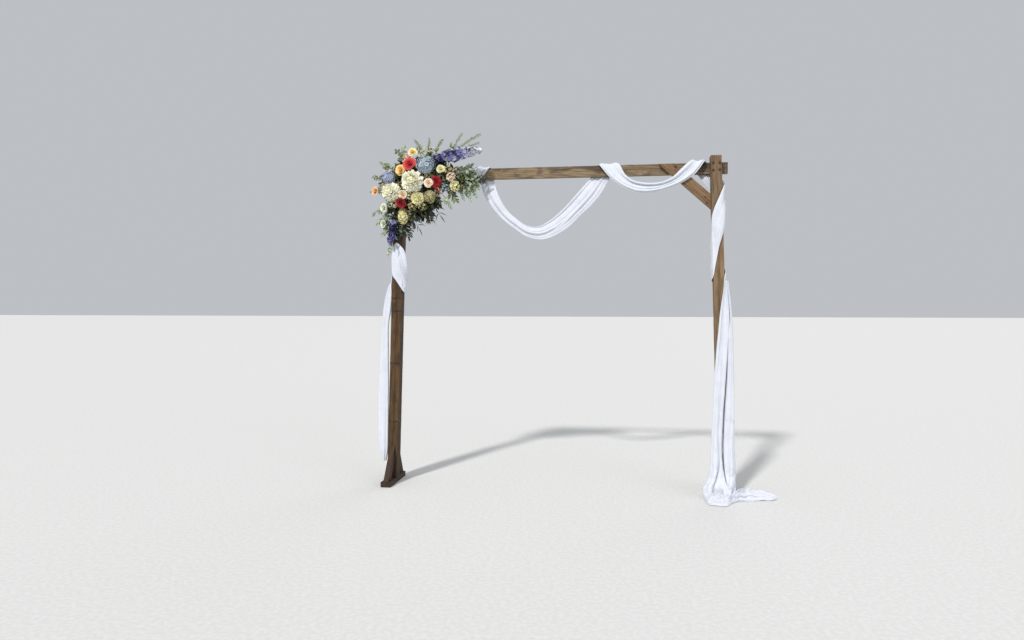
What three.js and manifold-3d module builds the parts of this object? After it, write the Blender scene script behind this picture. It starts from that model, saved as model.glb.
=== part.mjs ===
// Wedding arch: a freestanding timber frame of two double-board posts, a top
// beam with two knee braces, braced feet, sheer drapes swagged over the beam
// and down the posts, and a mixed flower arrangement on one upper corner.
//
// Millimetres. X runs along the arch, Y goes from front to back, +Z is up.
// The front, where the posts show their two edges, faces -Y.

import * as THREE from 'three';
import { mergeVertices } from 'three/addons/utils/BufferGeometryUtils.js';
import Module from 'manifold-3d';

const wasm = await Module();
wasm.setup();

// Dimensions

const GAP = 0.3; // clearance between pieces that bear on each other

// Timber
const BOARD_T = 38; // board thickness
const LEFT_BASE = -1220; // centre of the left post at the ground
const RIGHT_BASE = 1264; // centre of the right post at the ground
const LEAN = 0.03; // both posts lean in towards their tops, per unit of height
const POST_DEPTH = 89; // post, front to back (one board's width)
const POST_WIDTH = 2 * BOARD_T; // two boards side by side
const ARCH_HEIGHT = 2440; // ground to post top
const BEAM_H = 82; // beam and brace height
const BEAM_OVERHANG = 54; // beam past each post's outer face
const BEAM_TOP = 2403;
const BRACE_SLOPE = 0.9; // knee brace fall per unit of run
const BRACE_LOW = 2060; // where the brace's lower edge meets the post
const FOOT_LENGTH = 400;
const FOOT_BRACE_RISE = 255; // how far above the foot board the foot brace reaches
const FOOT_BRACE_H = 60; // foot brace height, square to its length

// Ties round the left post
const TIE_T = 2.2;
const TIE_H = 4.5;
const TIE_LEVELS = [473, 919, 1320, 1420];

// Cloth
const CLOTH = 14; // thickness of a wrap of bunched cloth
const SWAG_FRONT = 40; // front and back of the large swag
const SWAG_BACK = 88;
const SMALL_SWAG_T = 34; // thickness of the small swag
const POOL_T = 22; // height of the cloth lying on the ground

// Derived levels and faces
const postFront = -POST_DEPTH / 2;
const postBack = POST_DEPTH / 2;
const beamFront = postBack + GAP;
const beamBack = beamFront + BOARD_T;
const beamBottom = BEAM_TOP - BEAM_H;
const braceFront = postBack - BOARD_T;
const wrapBottom = beamBottom - CLOTH;
const wrapTop = BEAM_TOP + CLOTH;
const clothFront = beamFront - GAP - CLOTH;
const clothBack = beamBack + GAP + CLOTH;

// Materials

const finish = (color, roughness, metalness = 0) => ({ color, roughness, metalness });
const FINISHES = {
  timber_pale: finish(0x95744f, 0.75),
  timber_dark: finish(0x5d4735, 0.72),
  timber_foot: finish(0x6f5c52, 0.78),
  tie: finish(0x1d1813, 0.5),
  drape: finish(0xe9eaf4, 0.85),
  greenery: finish(0x3f5a2e, 0.7),
  petal_white: finish(0xf1eee6, 0.65),
  petal_cream: finish(0xefe2b4, 0.65),
  petal_yellow: finish(0xe8b93c, 0.65),
  petal_peach: finish(0xe8925c, 0.65),
  petal_blush: finish(0xe7b9b0, 0.65),
  petal_red: finish(0xb3202a, 0.6),
  petal_wine: finish(0x6d1424, 0.6),
  petal_blue: finish(0x7f93d6, 0.65),
  petal_violet: finish(0x4b45a8, 0.65),
};

// Helpers

const arch = new THREE.Group();
arch.name = 'wedding_arch';

function addMesh(name, geometry, slot) {
  const material = new THREE.MeshStandardMaterial(FINISHES[slot]);
  material.name = slot;
  const mesh = new THREE.Mesh(geometry, material);
  mesh.name = name;
  arch.add(mesh);
  return mesh;
}

/** A closed geometry as a solid that can be cut and joined. */
function solid(geometry) {
  const bare = geometry.clone();
  bare.deleteAttribute('normal');
  bare.deleteAttribute('uv');
  const merged = mergeVertices(bare, 1e-4);
  return new wasm.Manifold(
    new wasm.Mesh({
      numProp: 3,
      vertProperties: new Float32Array(merged.attributes.position.array),
      triVerts: new Uint32Array(merged.index.array),
    }),
  );
}

/** A cut or joined solid as a geometry. */
function geometryOf(manifold) {
  const { vertProperties, triVerts } = manifold.getMesh();
  const geometry = new THREE.BufferGeometry();
  geometry.setAttribute('position', new THREE.BufferAttribute(new Float32Array(vertProperties), 3));
  geometry.setIndex(new THREE.BufferAttribute(new Uint32Array(triVerts), 1));
  geometry.computeVertexNormals();
  return geometry;
}

/** A box between two corners. */
function box(x0, x1, y0, y1, z0, z1) {
  const geometry = new THREE.BoxGeometry(x1 - x0, y1 - y0, z1 - z0);
  geometry.translate((x0 + x1) / 2, (y0 + y1) / 2, (z0 + z1) / 2);
  return geometry;
}

const shapeOf = (points) => new THREE.Shape(points.map(([u, v]) => new THREE.Vector2(u, v)));
const flatExtrude = (shape, depth) =>
  new THREE.ExtrudeGeometry(shape, { depth, bevelEnabled: false, curveSegments: 6 });

/** A slab whose outline lies in the XZ plane, from y0 (front) to y1 (back). */
function slabXZ(points, y0, y1) {
  const geometry = flatExtrude(shapeOf(points), y1 - y0);
  geometry.rotateX(Math.PI / 2);
  geometry.translate(0, y1, 0);
  return geometry;
}

/** A slab whose outline lies in the YZ plane, from x0 to x1. */
function slabYZ(shape, x0, x1) {
  const geometry = flatExtrude(shape, x1 - x0);
  geometry.applyMatrix4(
    new THREE.Matrix4().makeBasis(
      new THREE.Vector3(0, 1, 0),
      new THREE.Vector3(0, 0, 1),
      new THREE.Vector3(1, 0, 0),
    ),
  );
  geometry.translate(x0, 0, 0);
  return geometry;
}

/** A slab whose outline lies in the XY plane, from z0 to z1. */
function slabXY(shape, z0, z1) {
  const geometry = flatExtrude(shape, z1 - z0);
  geometry.translate(0, 0, z0);
  return geometry;
}

/** Smooth line through [u, v] points, as [u, v] points. */
function smooth(points, count) {
  const curve = new THREE.SplineCurve(points.map(([u, v]) => new THREE.Vector2(u, v)));
  return curve.getPoints(count).map((p) => [p.x, p.y]);
}

/** Closed outline between an upper and a lower smooth edge, both given left to right. */
const crescent = (upper, lower, count) => [
  ...smooth(lower, count),
  ...smooth(upper, count).reverse(),
];

/** Outline with its corners cut off, as a collar of cloth round a squared timber has. */
function chamfered(u0, u1, v0, v1, c) {
  return [
    [u0 + c, v0], [u1 - c, v0], [u1, v0 + c], [u1, v1 - c],
    [u1 - c, v1], [u0 + c, v1], [u0, v1 - c], [u0, v0 + c],
  ];
}

function withHole(points, u0, u1, v0, v1) {
  const shape = shapeOf(points);
  const hole = new THREE.Path();
  hole.moveTo(u0, v0);
  hole.lineTo(u0, v1);
  hole.lineTo(u1, v1);
  hole.lineTo(u1, v0);
  hole.closePath();
  shape.holes.push(hole);
  return shape;
}

/** An ellipsoid of flat facets. */
function ellipsoid(center, radii, detail) {
  const geometry = new THREE.IcosahedronGeometry(1, detail);
  geometry.scale(...radii);
  geometry.translate(...center);
  return geometry;
}

// Timber frame

/** How far a post's centre has moved sideways at a height, from its base. */
const leanAt = (sign, z) => -sign * LEAN * z;
const baseOf = (sign) => (sign < 0 ? LEFT_BASE : RIGHT_BASE);

/** Shears a plumb geometry along a post's lean; its level faces stay level. */
function leaned(geometry, sign) {
  const p = geometry.attributes.position;
  for (let i = 0; i < p.count; i += 1) p.setX(i, p.getX(i) + leanAt(sign, p.getZ(i)));
  return geometry;
}

/** The room a post takes, with the clearance round it, over a span of heights. */
const postRoom = (sign, z0, z1) =>
  solid(
    leaned(
      box(
        baseOf(sign) - POST_WIDTH / 2 - GAP, baseOf(sign) + POST_WIDTH / 2 + GAP,
        postFront - GAP, postBack + GAP, z0, z1,
      ),
      sign,
    ),
  );

// Each post is two boards on edge, seam in the middle of its front face. It
// stands on a foot board that lies front to back, with a diagonal foot brace
// before and behind it.
function buildSide(side, sign, timber) {
  const x = baseOf(sign);
  const outer = sign < 0 ? [x - BOARD_T, x - GAP / 2] : [x + GAP / 2, x + BOARD_T];
  const inner = sign < 0 ? [x + GAP / 2, x + BOARD_T] : [x - BOARD_T, x - GAP / 2];
  const base = BOARD_T + GAP;
  for (const [which, [x0, x1]] of [['outer', outer], ['inner', inner]]) {
    const board = leaned(box(x0, x1, postFront, postBack, base, ARCH_HEIGHT), sign);
    addMesh(`${side}_post_${which}_board`, board, timber);
  }
  addMesh(
    `${side}_foot`,
    box(x - POST_WIDTH / 2, x + POST_WIDTH / 2, -FOOT_LENGTH / 2, FOOT_LENGTH / 2, 0, BOARD_T),
    'timber_foot',
  );

  // Foot brace: a board set on edge, cut to stand on the foot board and to
  // butt the post.
  const run = FOOT_LENGTH / 2 - POST_DEPTH / 2 - GAP;
  const cut = FOOT_BRACE_H * Math.hypot(run, FOOT_BRACE_RISE);
  const along = cut / FOOT_BRACE_RISE; // its footprint on the foot board
  const up = cut / run; // its height on the post
  const profile = (dir) => {
    const y0 = dir * (FOOT_LENGTH / 2);
    const y1 = dir * (POST_DEPTH / 2 + GAP);
    return shapeOf([
      [y0, base],
      [y0 - dir * along, base],
      [y1, base + FOOT_BRACE_RISE - up],
      [y1, base + FOOT_BRACE_RISE],
    ]);
  };
  for (const [place, dir] of [['front', -1], ['back', 1]]) {
    addMesh(
      `${side}_foot_brace_${place}`,
      leaned(slabYZ(profile(dir), x - BOARD_T / 2, x + BOARD_T / 2), sign),
      'timber_foot',
    );
  }

  // Knee brace: in front of the beam, flush with the post's back, its upper
  // end cut level with the beam's top and its lower end butting the post.
  const face = (z) => x + leanAt(sign, z) - sign * (POST_WIDTH / 2 + GAP);
  const rise = BEAM_H * Math.hypot(1, BRACE_SLOPE);
  const top = BEAM_TOP - 6;
  const reach = (z0) => face(z0) - (sign * (top - z0)) / BRACE_SLOPE;
  addMesh(
    `${side}_knee_brace`,
    slabXZ(
      [
        [face(BRACE_LOW), BRACE_LOW],
        [face(BRACE_LOW + rise), BRACE_LOW + rise],
        [reach(BRACE_LOW + rise), top],
        [reach(BRACE_LOW), top],
      ],
      braceFront,
      postBack,
    ),
    'timber_pale',
  );
}

buildSide('left', -1, 'timber_dark');
buildSide('right', 1, 'timber_pale');
const beamEnd = (sign) =>
  baseOf(sign) + leanAt(sign, BEAM_TOP) + sign * (POST_WIDTH / 2 + BEAM_OVERHANG);
addMesh('top_beam', box(beamEnd(-1), beamEnd(1), beamFront, beamBack, beamBottom, BEAM_TOP), 'timber_pale');

// Thin ties pulled tight round the left post.
TIE_LEVELS.forEach((z, i) => {
  const x = LEFT_BASE + leanAt(-1, z);
  const hx = POST_WIDTH / 2 + GAP;
  const hy = POST_DEPTH / 2 + GAP;
  const ring = withHole(
    chamfered(x - hx - TIE_T, x + hx + TIE_T, -hy - TIE_T, hy + TIE_T, 1.5),
    x - hx, x + hx, -hy, hy,
  );
  addMesh(`left_post_tie_${i + 1}`, slabXY(ring, z - TIE_H / 2, z + TIE_H / 2), 'tie');
});

// Drapes

// One long strip of cloth dresses the beam and the right post. It passes over
// the beam's top three times, behind the beam from below at the first two.
const joined = (...geometries) => geometryOf(geometries.map(solid).reduce((a, b) => a.add(b)));
const backWall = (points) => slabXZ(points, beamBack + GAP, clothBack);
const overTop = (x0, x1, y0) => box(x0, x1, y0, clothBack, BEAM_TOP + GAP, wrapTop);
addMesh(
  'beam_left_wrap',
  joined(
    backWall([[-546, wrapBottom], [-437, wrapBottom], [-461, wrapTop], [-592, wrapTop]]),
    overTop(-592, -461, clothFront),
    slabXZ(
      [[-592, wrapTop], [-461, wrapTop], [-502, 2365], [-545, 2312], [-655, 2312], [-630, 2365]],
      clothFront, beamFront - GAP,
    ),
  ),
  'drape',
);
addMesh(
  'beam_middle_wrap',
  joined(
    backWall([[286, wrapBottom], [432, wrapBottom], [502, wrapTop], [352, wrapTop]]),
    overTop(352, 502, braceFront),
  ),
  'drape',
);
const backSeam = 2326; // where the stretch behind the beam begins
addMesh(
  'beam_right_wrap',
  joined(
    backWall([[1012, wrapTop], [1072, backSeam], [1226, backSeam], [1126, wrapTop]]),
    overTop(1012, 1126, braceFront),
  ),
  'drape',
);

// Large swag, hung under the beam between two wraps.
const swagTop = wrapBottom - GAP;
addMesh(
  'large_swag',
  slabXZ(
    crescent(
      [[-437, swagTop], [-421, 2247], [-375, 2147], [-320, 2069], [-246, 2007], [-170, 1962],
        [-100, 1958], [0, 2010], [87, 2085], [174, 2178], [286, swagTop]],
      [[-546, swagTop], [-518, 2211], [-421, 2063], [-352, 1996], [-240, 1913], [-139, 1858],
        [-40, 1861], [88, 1912], [174, 1988], [346, 2157], [432, swagTop]],
      22,
    ),
    SWAG_FRONT,
    SWAG_BACK,
  ),
  'drape',
);

// Small swag, in front of the beam and the knee brace.
addMesh(
  'small_swag',
  slabXZ(
    crescent(
      [[502, wrapTop], [554, 2318], [620, 2276], [736, 2258], [851, 2277], [924, 2330],
        [972, 2384], [1012, wrapTop]],
      [[352, wrapTop], [421, 2320], [537, 2228], [670, 2184], [819, 2204], [948, 2250],
        [1070, 2334], [1126, wrapTop]],
      18,
    ),
    braceFront - GAP - SMALL_SWAG_T,
    braceFront - GAP,
  ),
  'drape',
);

// The stretch that passes down behind the beam to the right post's outer side.
addMesh(
  'right_back_drape',
  slabXZ(
    [[1072, backSeam - GAP], [1173, 2190], [1262, 2100], [1262, 2240], [1226, backSeam - GAP]],
    beamBack + GAP, clothBack,
  ),
  'drape',
);

// Cloth wound round the right post: down its outer side, across the front from
// upper right to lower left, round the inner side and the back, and out again
// on the outer side.
const WIND = { inner: 1146, outer: 1262, front: -75, back: 75 };
const crossing = solid(
  slabXZ(
    [[1250, 2215], [1230, 2175], [1194, 2104], [1171, 2040], [1154, 1982], [1148, 1890],
      [1148, 1740], [1157, 1679], [1174, 1592], [1184, 1592], [1197, 1688], [1216, 1786],
      [1246, 1899], [1260, 1997], [1260, 2103]],
    WIND.front, 0,
  ),
);
const rightWrap = crossing
  .add(solid(box(1238, WIND.outer, WIND.front, beamBack, 1980, 2215)))
  .add(solid(box(WIND.inner, 1190, WIND.front + 6, WIND.back - 6, 1690, 1990)))
  .add(solid(slabXZ([[WIND.inner, 1990], [WIND.inner, 1690], [1272, 1480], [1272, 1740]], 10, WIND.back)))
  .add(solid(box(1250, 1272, WIND.front, WIND.back - 6, 1490, 1576)))
  .subtract(postRoom(1, 1400, 2300));
addMesh('right_post_wrap', geometryOf(rightWrap), 'drape');

// Lower drape, hanging from the wrap to the ground in front of the post and
// spreading forward over the foot.
const DROP = [
  // level, left edge, right edge
  [1574, 1244, 1268], [1506, 1243, 1284], [1417, 1232, 1296], [1327, 1217, 1306],
  [1169, 1209, 1316], [1033, 1197, 1320], [850, 1184, 1324], [621, 1172, 1327],
  [392, 1165, 1333], [250, 1157, 1336], [120, 1138, 1338], [POOL_T + GAP, 1112, 1340],
];
function dropAt(z, column) {
  const k = DROP.findIndex((row) => row[0] <= z + 1e-6);
  if (k <= 0) return DROP[0][column];
  const [a, b] = [DROP[k - 1], DROP[k]];
  const t = (a[0] - z) / (a[0] - b[0]);
  return a[column] + t * (b[column] - a[column]);
}
const drop = new THREE.BoxGeometry(1, 1, 1, 4, 1, 14);
{
  const p = drop.attributes.position;
  const [zTop, zLow] = [DROP[0][0], POOL_T + GAP];
  for (let i = 0; i < p.count; i += 1) {
    const z = zLow + (p.getZ(i) + 0.5) * (zTop - zLow);
    const [left, right] = [dropAt(z, 1), dropAt(z, 2)];
    const forward = Math.max(0, 300 - z) * 0.62;
    const back = WIND.front - GAP - forward;
    p.setXYZ(i, left + (p.getX(i) + 0.5) * (right - left), back - 32 * (0.5 - p.getY(i)), z);
  }
}
addMesh('right_lower_drape', drop, 'drape');

// Cloth lying on the ground round the right foot, with its train to the right.
const pool = solid(
  slabXY(
    shapeOf([
      [1126, 60], [1118, -100], [1102, -210], [1108, -320], [1124, -344], [1173, -362],
      [1238, -365], [1292, -276], [1354, -218], [1440, -196], [1515, -182], [1562, -170],
      [1585, -138], [1585, -88], [1535, -44], [1490, -30], [1440, -14], [1400, 34],
      [1365, 102], [1330, 146], [1180, 146],
    ]),
    0,
    POOL_T,
  ),
).subtract(
  solid(box(
    RIGHT_BASE - POST_WIDTH / 2 - 1, RIGHT_BASE + POST_WIDTH / 2 + 1,
    -FOOT_LENGTH / 2 - 1, FOOT_LENGTH / 2 + 1, -10, POOL_T + 10,
  )),
);
addMesh('drape_pool', geometryOf(pool), 'drape');

// Cloth wound round the left post: across the front from upper left to lower
// right, round the inner side and the back, and out on the outer side, where
// its last length hangs beside the post.
const leftWrap = solid(
  slabXZ(
    [[-1209, 1585], [-1182, 1560], [-1113, 1456], [-1099, 1511], [-1090, 1590], [-1090, 1700],
      [-1093, 1749], [-1124, 1803], [-1160, 1840], [-1178, 1838], [-1209, 1750]],
    -76, 0,
  ),
)
  .add(solid(box(-1150, -1092, -60, 66, 1500, 1745)))
  .add(solid(slabXZ([[-1092, 1500], [-1092, 1700], [-1236, 1606], [-1236, 1482]], 0, 74)))
  .subtract(postRoom(-1, 1400, 1900));
addMesh('left_post_wrap', geometryOf(leftWrap), 'drape');
addMesh(
  'left_side_drape',
  slabXZ(
    [
      [-1213, 1572], [-1226, 1572], [-1240, 1520], [-1262, 1470], [-1284, 1360], [-1296, 1200],
      [-1308, 1016], [-1323, 816], [-1331, 617], [-1331, 416], [-1319, 243], [-1292, 150],
      [-1271, 144], [-1254, 218], [-1248, 618], [-1246, 1016], [-1250, 1148], [-1247, 1243],
      [-1232, 1328], [-1220, 1404], [-1216, 1458],
    ],
    -36, -GAP,
  ),
  'drape',
);

// Flowers

// Blooms: [name, colour, x, z, radius, distance of the centre before the post].
const BLOOMS = [
  ['rose_yellow', 'petal_yellow', -1013, 2501, 34, 90],
  ['rose_red', 'petal_red', -1031, 2408, 46, 118],
  ['rose_peach', 'petal_peach', -1106, 2372, 42, 84],
  ['hydrangea_white', 'petal_white', -911, 2410, 73, 100],
  ['mum_large', 'petal_cream', -1008, 2284, 78, 116],
  ['mum_left', 'petal_cream', -1176, 2204, 64, 108],
  ['hydrangea_blue', 'petal_blue', -1206, 2318, 52, 86],
  ['rose_blush', 'petal_blush', -890, 2275, 38, 108],
  ['rose_cream', 'petal_cream', -801, 2366, 31, 100],
  ['rose_wine', 'petal_wine', -838, 2286, 33, 60],
  ['mum_low', 'petal_white', -978, 2150, 46, 100],
  ['stock_yellow', 'petal_yellow', -1084, 2020, 44, 70],
  ['stock_cream', 'petal_cream', -688, 2235, 36, 70],
];
const bloomCuts = [];
for (const [name, slot, x, z, radius, before] of BLOOMS) {
  const center = [x, postFront - before, z];
  addMesh(name, ellipsoid(center, [radius, radius, radius], 1), slot);
  const r = radius + 2 * GAP;
  bloomCuts.push(solid(ellipsoid(center, [r, r, r], 1)));
}

/** A flower spike: a tapering stem of blossom between two points. */
function spike(from, to, r0, r1) {
  const [a, b] = [new THREE.Vector3(...from), new THREE.Vector3(...to)];
  const length = a.distanceTo(b);
  const geometry = new THREE.LatheGeometry(
    [
      [0, 0], [r0 * 0.7, length * 0.03], [r0, length * 0.14], [r0 * 0.92, length * 0.45],
      [(r0 + r1) * 0.45, length * 0.78], [r1 * 0.7, length * 0.96], [0, length],
    ].map(([u, v]) => new THREE.Vector2(u, v)),
    10,
  );
  const turn = new THREE.Quaternion().setFromUnitVectors(
    new THREE.Vector3(0, 1, 0),
    b.clone().sub(a).normalize(),
  );
  geometry.applyQuaternion(turn);
  geometry.translate(...from);
  return geometry;
}
const SPIKES = [
  ['delphinium_beam', [-850, -150, 2452], [-509, -130, 2522], 44, 22],
  ['delphinium_post', [-1166, -120, 2000], [-1208, -112, 1828], 26, 12],
];
for (const [name, from, to, r0, r1] of SPIKES) {
  addMesh(name, spike(from, to, r0, r1), 'petal_violet');
  bloomCuts.push(solid(spike(from, to, r0 + 2 * GAP, r1 + 2 * GAP)));
}

// Masses of leaves that the blooms sit in: at the corner, along the beam and
// down the post.
const CORNER_END = -764;
const CORNER_LOW = 2084;
const inFront = (x0, x1, y1, z0, z1) => solid(box(x0, x1, -400, y1, z0, z1));
function foliage(name, lumps, keep) {
  let mass = lumps
    .map(([center, radii]) => solid(ellipsoid(center, radii, 1)))
    .reduce((all, lump) => all.add(lump))
    .intersect(keep);
  for (const cut of bloomCuts) mass = mass.subtract(cut);
  const whole = mass.decompose().sort((a, b) => b.volume() - a.volume())[0];
  addMesh(name, geometryOf(whole), 'greenery');
}
foliage(
  'greenery_corner',
  [
    [[-1040, -70, 2290], [255, 110, 215]],
    [[-880, -80, 2440], [190, 75, 130]],
    [[-1170, -70, 2260], [150, 80, 140]],
    [[-850, -110, 2540], [60, 30, 80]],
  ],
  inFront(-1400, CORNER_END, postFront - GAP, CORNER_LOW, 2700),
);
foliage(
  'greenery_beam',
  [
    [[-720, -80, 2290], [150, 70, 120]],
    [[-580, -60, 2270], [110, 45, 60]],
  ],
  inFront(CORNER_END + GAP, -400, postFront - GAP, 2000, 2430),
);
foliage(
  'greenery_post',
  [
    [[-1130, -60, 2060], [120, 80, 120]],
    [[-1160, -60, 1960], [85, 55, 100]],
  ],
  inFront(-1400, -900, postFront - GAP, 1862, CORNER_LOW - GAP),
);

// Placement

// The row's origin is on the ground, in the middle of the object's extents.
const placed = new THREE.Group();
placed.name = 'arch';
arch.updateMatrixWorld(true);
const extents = new THREE.Box3().setFromObject(arch, true);
const middle = extents.getCenter(new THREE.Vector3());
arch.position.set(-middle.x, -middle.y, -extents.min.z);
placed.add(arch);

export default placed;
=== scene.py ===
"""Looks of a wedding arch: a timber frame dressed with sheer cloth and flowers.

The frame's boards, the cloth and the flowers are built in metres around the
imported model, in the arch's own coordinates: X along the arch from the flowers
to the train, -Y to the front, Z up, with the origin on the ground between the
posts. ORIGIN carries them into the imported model's frame.
"""

from __future__ import annotations

import logging
import math
import random
from dataclasses import dataclass, replace
from enum import Enum
from functools import cache
from typing import Iterable, Sequence

import bmesh
import bpy
import numpy as np
from mathutils import Matrix, Vector, noise


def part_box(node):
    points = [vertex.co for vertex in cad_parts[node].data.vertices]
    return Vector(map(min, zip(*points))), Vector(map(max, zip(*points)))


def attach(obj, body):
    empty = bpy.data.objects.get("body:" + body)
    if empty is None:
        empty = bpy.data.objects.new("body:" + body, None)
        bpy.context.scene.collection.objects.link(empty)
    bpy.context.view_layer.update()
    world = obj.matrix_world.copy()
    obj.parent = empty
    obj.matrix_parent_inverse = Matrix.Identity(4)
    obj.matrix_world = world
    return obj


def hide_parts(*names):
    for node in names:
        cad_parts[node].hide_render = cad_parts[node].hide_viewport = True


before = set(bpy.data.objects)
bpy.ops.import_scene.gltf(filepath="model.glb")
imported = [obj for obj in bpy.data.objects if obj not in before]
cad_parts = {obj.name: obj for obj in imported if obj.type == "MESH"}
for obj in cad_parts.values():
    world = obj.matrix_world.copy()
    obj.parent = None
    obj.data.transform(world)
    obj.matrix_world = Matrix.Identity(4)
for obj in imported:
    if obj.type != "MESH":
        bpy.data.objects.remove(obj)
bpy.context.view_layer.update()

log = logging.getLogger("wedding_arch")

Vec = tuple[float, float, float]
Flat = tuple[float, float]
Colour = tuple[float, float, float]
Socket = bpy.types.NodeSocket
Node = bpy.types.Node
Material = bpy.types.Material
Piece = bpy.types.Object
Array = np.ndarray

BODY = "root"
LEFT_BASE = -1.220
RIGHT_BASE = 1.264
LEAN = 0.03
POST_HALF_WIDTH = 0.038
POST_HALF_DEPTH = 0.0445
BEAM_TOP = 2.403
BEAM_BOTTOM = 2.321
BEAM_FRONT = 0.0448
BEAM_BACK = 0.0828
BEAM_MIDDLE = 0.022
BEAM_HALF_LENGTH = 1.2619
POST_TOP = 2.44
FOOT_THICK = 0.038
FOOT_RUN = 0.155
FOOT_RISE = 0.255
OFF_GROUND = 0.0015
ALONG_X = (1.0, 0.0, 0.0)
ALONG_Y = (0.0, 1.0, 0.0)
ALONG_Z = (0.0, 0.0, 1.0)
TO_FRONT = (0.0, -1.0, 0.0)


def arch_origin() -> Vector:
    """Finds the arch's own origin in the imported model's frame, from the left foot.

    Returns:
        The origin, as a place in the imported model.
    """
    low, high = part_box("left_foot")
    middle = (Vector(low) + Vector(high)) / 2
    return Vector((middle.x - LEFT_BASE, middle.y, 0.0))


ORIGIN = arch_origin()


def srgb(red: int, green: int, blue: int) -> Colour:
    """Turns a colour as seen on a screen, 0 to 255, into linear light."""
    shares = (value / 255 for value in (red, green, blue))
    return tuple(s / 12.92 if s <= 0.04045 else ((s + 0.055) / 1.055) ** 2.4 for s in shares)


# Node materials


class Recipe:
    """A material's nodes, added and joined by short calls."""

    def __init__(self, name: str) -> None:
        """Starts an empty material with its output node.

        Args:
            name: The material's name.
        """
        self.material = bpy.data.materials.new(name)
        self.material.use_nodes = True
        self.tree = self.material.node_tree
        self.tree.nodes.clear()
        self.output = self.node("ShaderNodeOutputMaterial")

    def node(self, kind: str, **settings: object) -> Node:
        """Adds a node and sets its options.

        Args:
            kind: The node's type.
            settings: Its options and their values.

        Returns:
            The new node.
        """
        made = self.tree.nodes.new(kind)
        for key, value in settings.items():
            setattr(made, key, value)
        return made

    def feed(self, socket: Socket, value: object) -> None:
        """Joins a socket to an input, or sets the input to a constant.

        Args:
            socket: The input.
            value: A socket, a colour or a number.
        """
        if isinstance(value, Socket):
            self.tree.links.new(value, socket)
        elif isinstance(value, tuple) and len(value) == 3 and socket.type == "RGBA":
            socket.default_value = (*value, 1.0)
        else:
            socket.default_value = value

    def fill(self, made: Node, **inputs: object) -> Node:
        """Feeds a node's inputs, named by their sockets' words joined by underscores.

        Args:
            made: The node.
            inputs: What goes into each input.

        Returns:
            The same node.
        """
        for key, value in inputs.items():
            self.feed(made.inputs[key.replace("_", " ")], value)
        return made

    def wire(self, made: Node, *values: object) -> Node:
        """Feeds a node's first inputs in their order.

        Args:
            made: The node.
            values: What goes into its inputs.

        Returns:
            The same node.
        """
        for socket, value in zip(made.inputs, values):
            self.feed(socket, value)
        return made

    def attribute(self, name: str, output: str = "Vector") -> Socket:
        """Reads a named attribute of the mesh."""
        return self.node("ShaderNodeAttribute", attribute_name=name).outputs[output]

    def place(self) -> Socket:
        """Gives each point's place on its object."""
        return self.node("ShaderNodeTexCoord").outputs["Object"]

    def vector(self, operation: str, first: object, second: object = (0.0, 0.0, 0.0)) -> Node:
        """Adds one step of arithmetic with vectors."""
        return self.wire(self.node("ShaderNodeVectorMath", operation=operation), first, second)

    def scaled(self, vector: object, scale: Vec) -> Socket:
        """Multiplies a vector, part by part."""
        return self.vector("MULTIPLY", vector, scale).outputs[0]

    def parts(self, vector: object) -> list[Socket]:
        """Takes a vector apart into its three numbers."""
        return list(self.wire(self.node("ShaderNodeSeparateXYZ"), vector).outputs)

    def noise(self, vector: object, scale: float, detail: float = 2.0, twist: float = 0.0) -> Socket:
        """Adds fractal noise, from 0 to 1."""
        made = self.node("ShaderNodeTexNoise")
        return self.fill(made, Vector=vector, Scale=scale, Detail=detail, Distortion=twist).outputs["Fac"]

    def math(self, operation: str, first: object, second: object = 0.0, clamp: bool = False) -> Socket:
        """Adds one arithmetic step."""
        made = self.node("ShaderNodeMath", operation=operation, use_clamp=clamp)
        return self.wire(made, first, second).outputs[0]

    def step(
        self, value: object, low: float, high: float, to_low: float = 0.0, to_high: float = 1.0
    ) -> Socket:
        """Turns a value smoothly from one level to another between two limits."""
        made = self.node("ShaderNodeMapRange", interpolation_type="SMOOTHSTEP")
        return self.wire(made, value, low, high, to_low, to_high).outputs["Result"]

    def blend(self, share: object, first: object, second: object, mode: str = "MIX") -> Socket:
        """Mixes two colours.

        Args:
            share: How much of the second, from 0 to 1.
            first: A colour.
            second: Another.
            mode: How they mix.

        Returns:
            The mixed colour.
        """
        made = self.node("ShaderNodeMix", data_type="RGBA", blend_type=mode)
        self.feed(made.inputs["Factor"], share)
        self.feed(made.inputs[6], first)
        self.feed(made.inputs[7], second)
        return made.outputs[2]

    def shaded(self, colour: Socket, shade: Socket) -> Socket:
        """Makes a colour darker or lighter by a factor."""
        tone = self.wire(self.node("ShaderNodeCombineColor"), shade, shade, shade)
        return self.blend(1.0, colour, tone.outputs[0], "MULTIPLY")

    def bump(self, height: object, distance: float, strength: float) -> Socket:
        """Turns a height into a bent normal."""
        made = self.node("ShaderNodeBump")
        return self.fill(made, Height=height, Distance=distance, Strength=strength).outputs["Normal"]

    def surface(self, **inputs: object) -> Node:
        """Adds the main shader, with its inputs named as for fill.

        Args:
            inputs: What goes into each input.

        Returns:
            The shader.
        """
        made = self.fill(self.node("ShaderNodeBsdfPrincipled"), **inputs)
        self.feed(self.output.inputs["Surface"], made.outputs[0])
        return made

    def let_light_through(self, shader: Node, colour: Socket, share: float, normal: Socket) -> None:
        """Lets a share of the light pass through a thin sheet.

        Args:
            shader: The sheet's main shader.
            colour: The colour of the light that passes.
            share: How much passes.
            normal: The sheet's bent normal.
        """
        through = self.fill(self.node("ShaderNodeBsdfTranslucent"), Color=colour, Normal=normal)
        both = self.wire(self.node("ShaderNodeMixShader"), share, shader.outputs[0], through.outputs[0])
        self.feed(self.output.inputs["Surface"], both.outputs[0])


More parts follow.
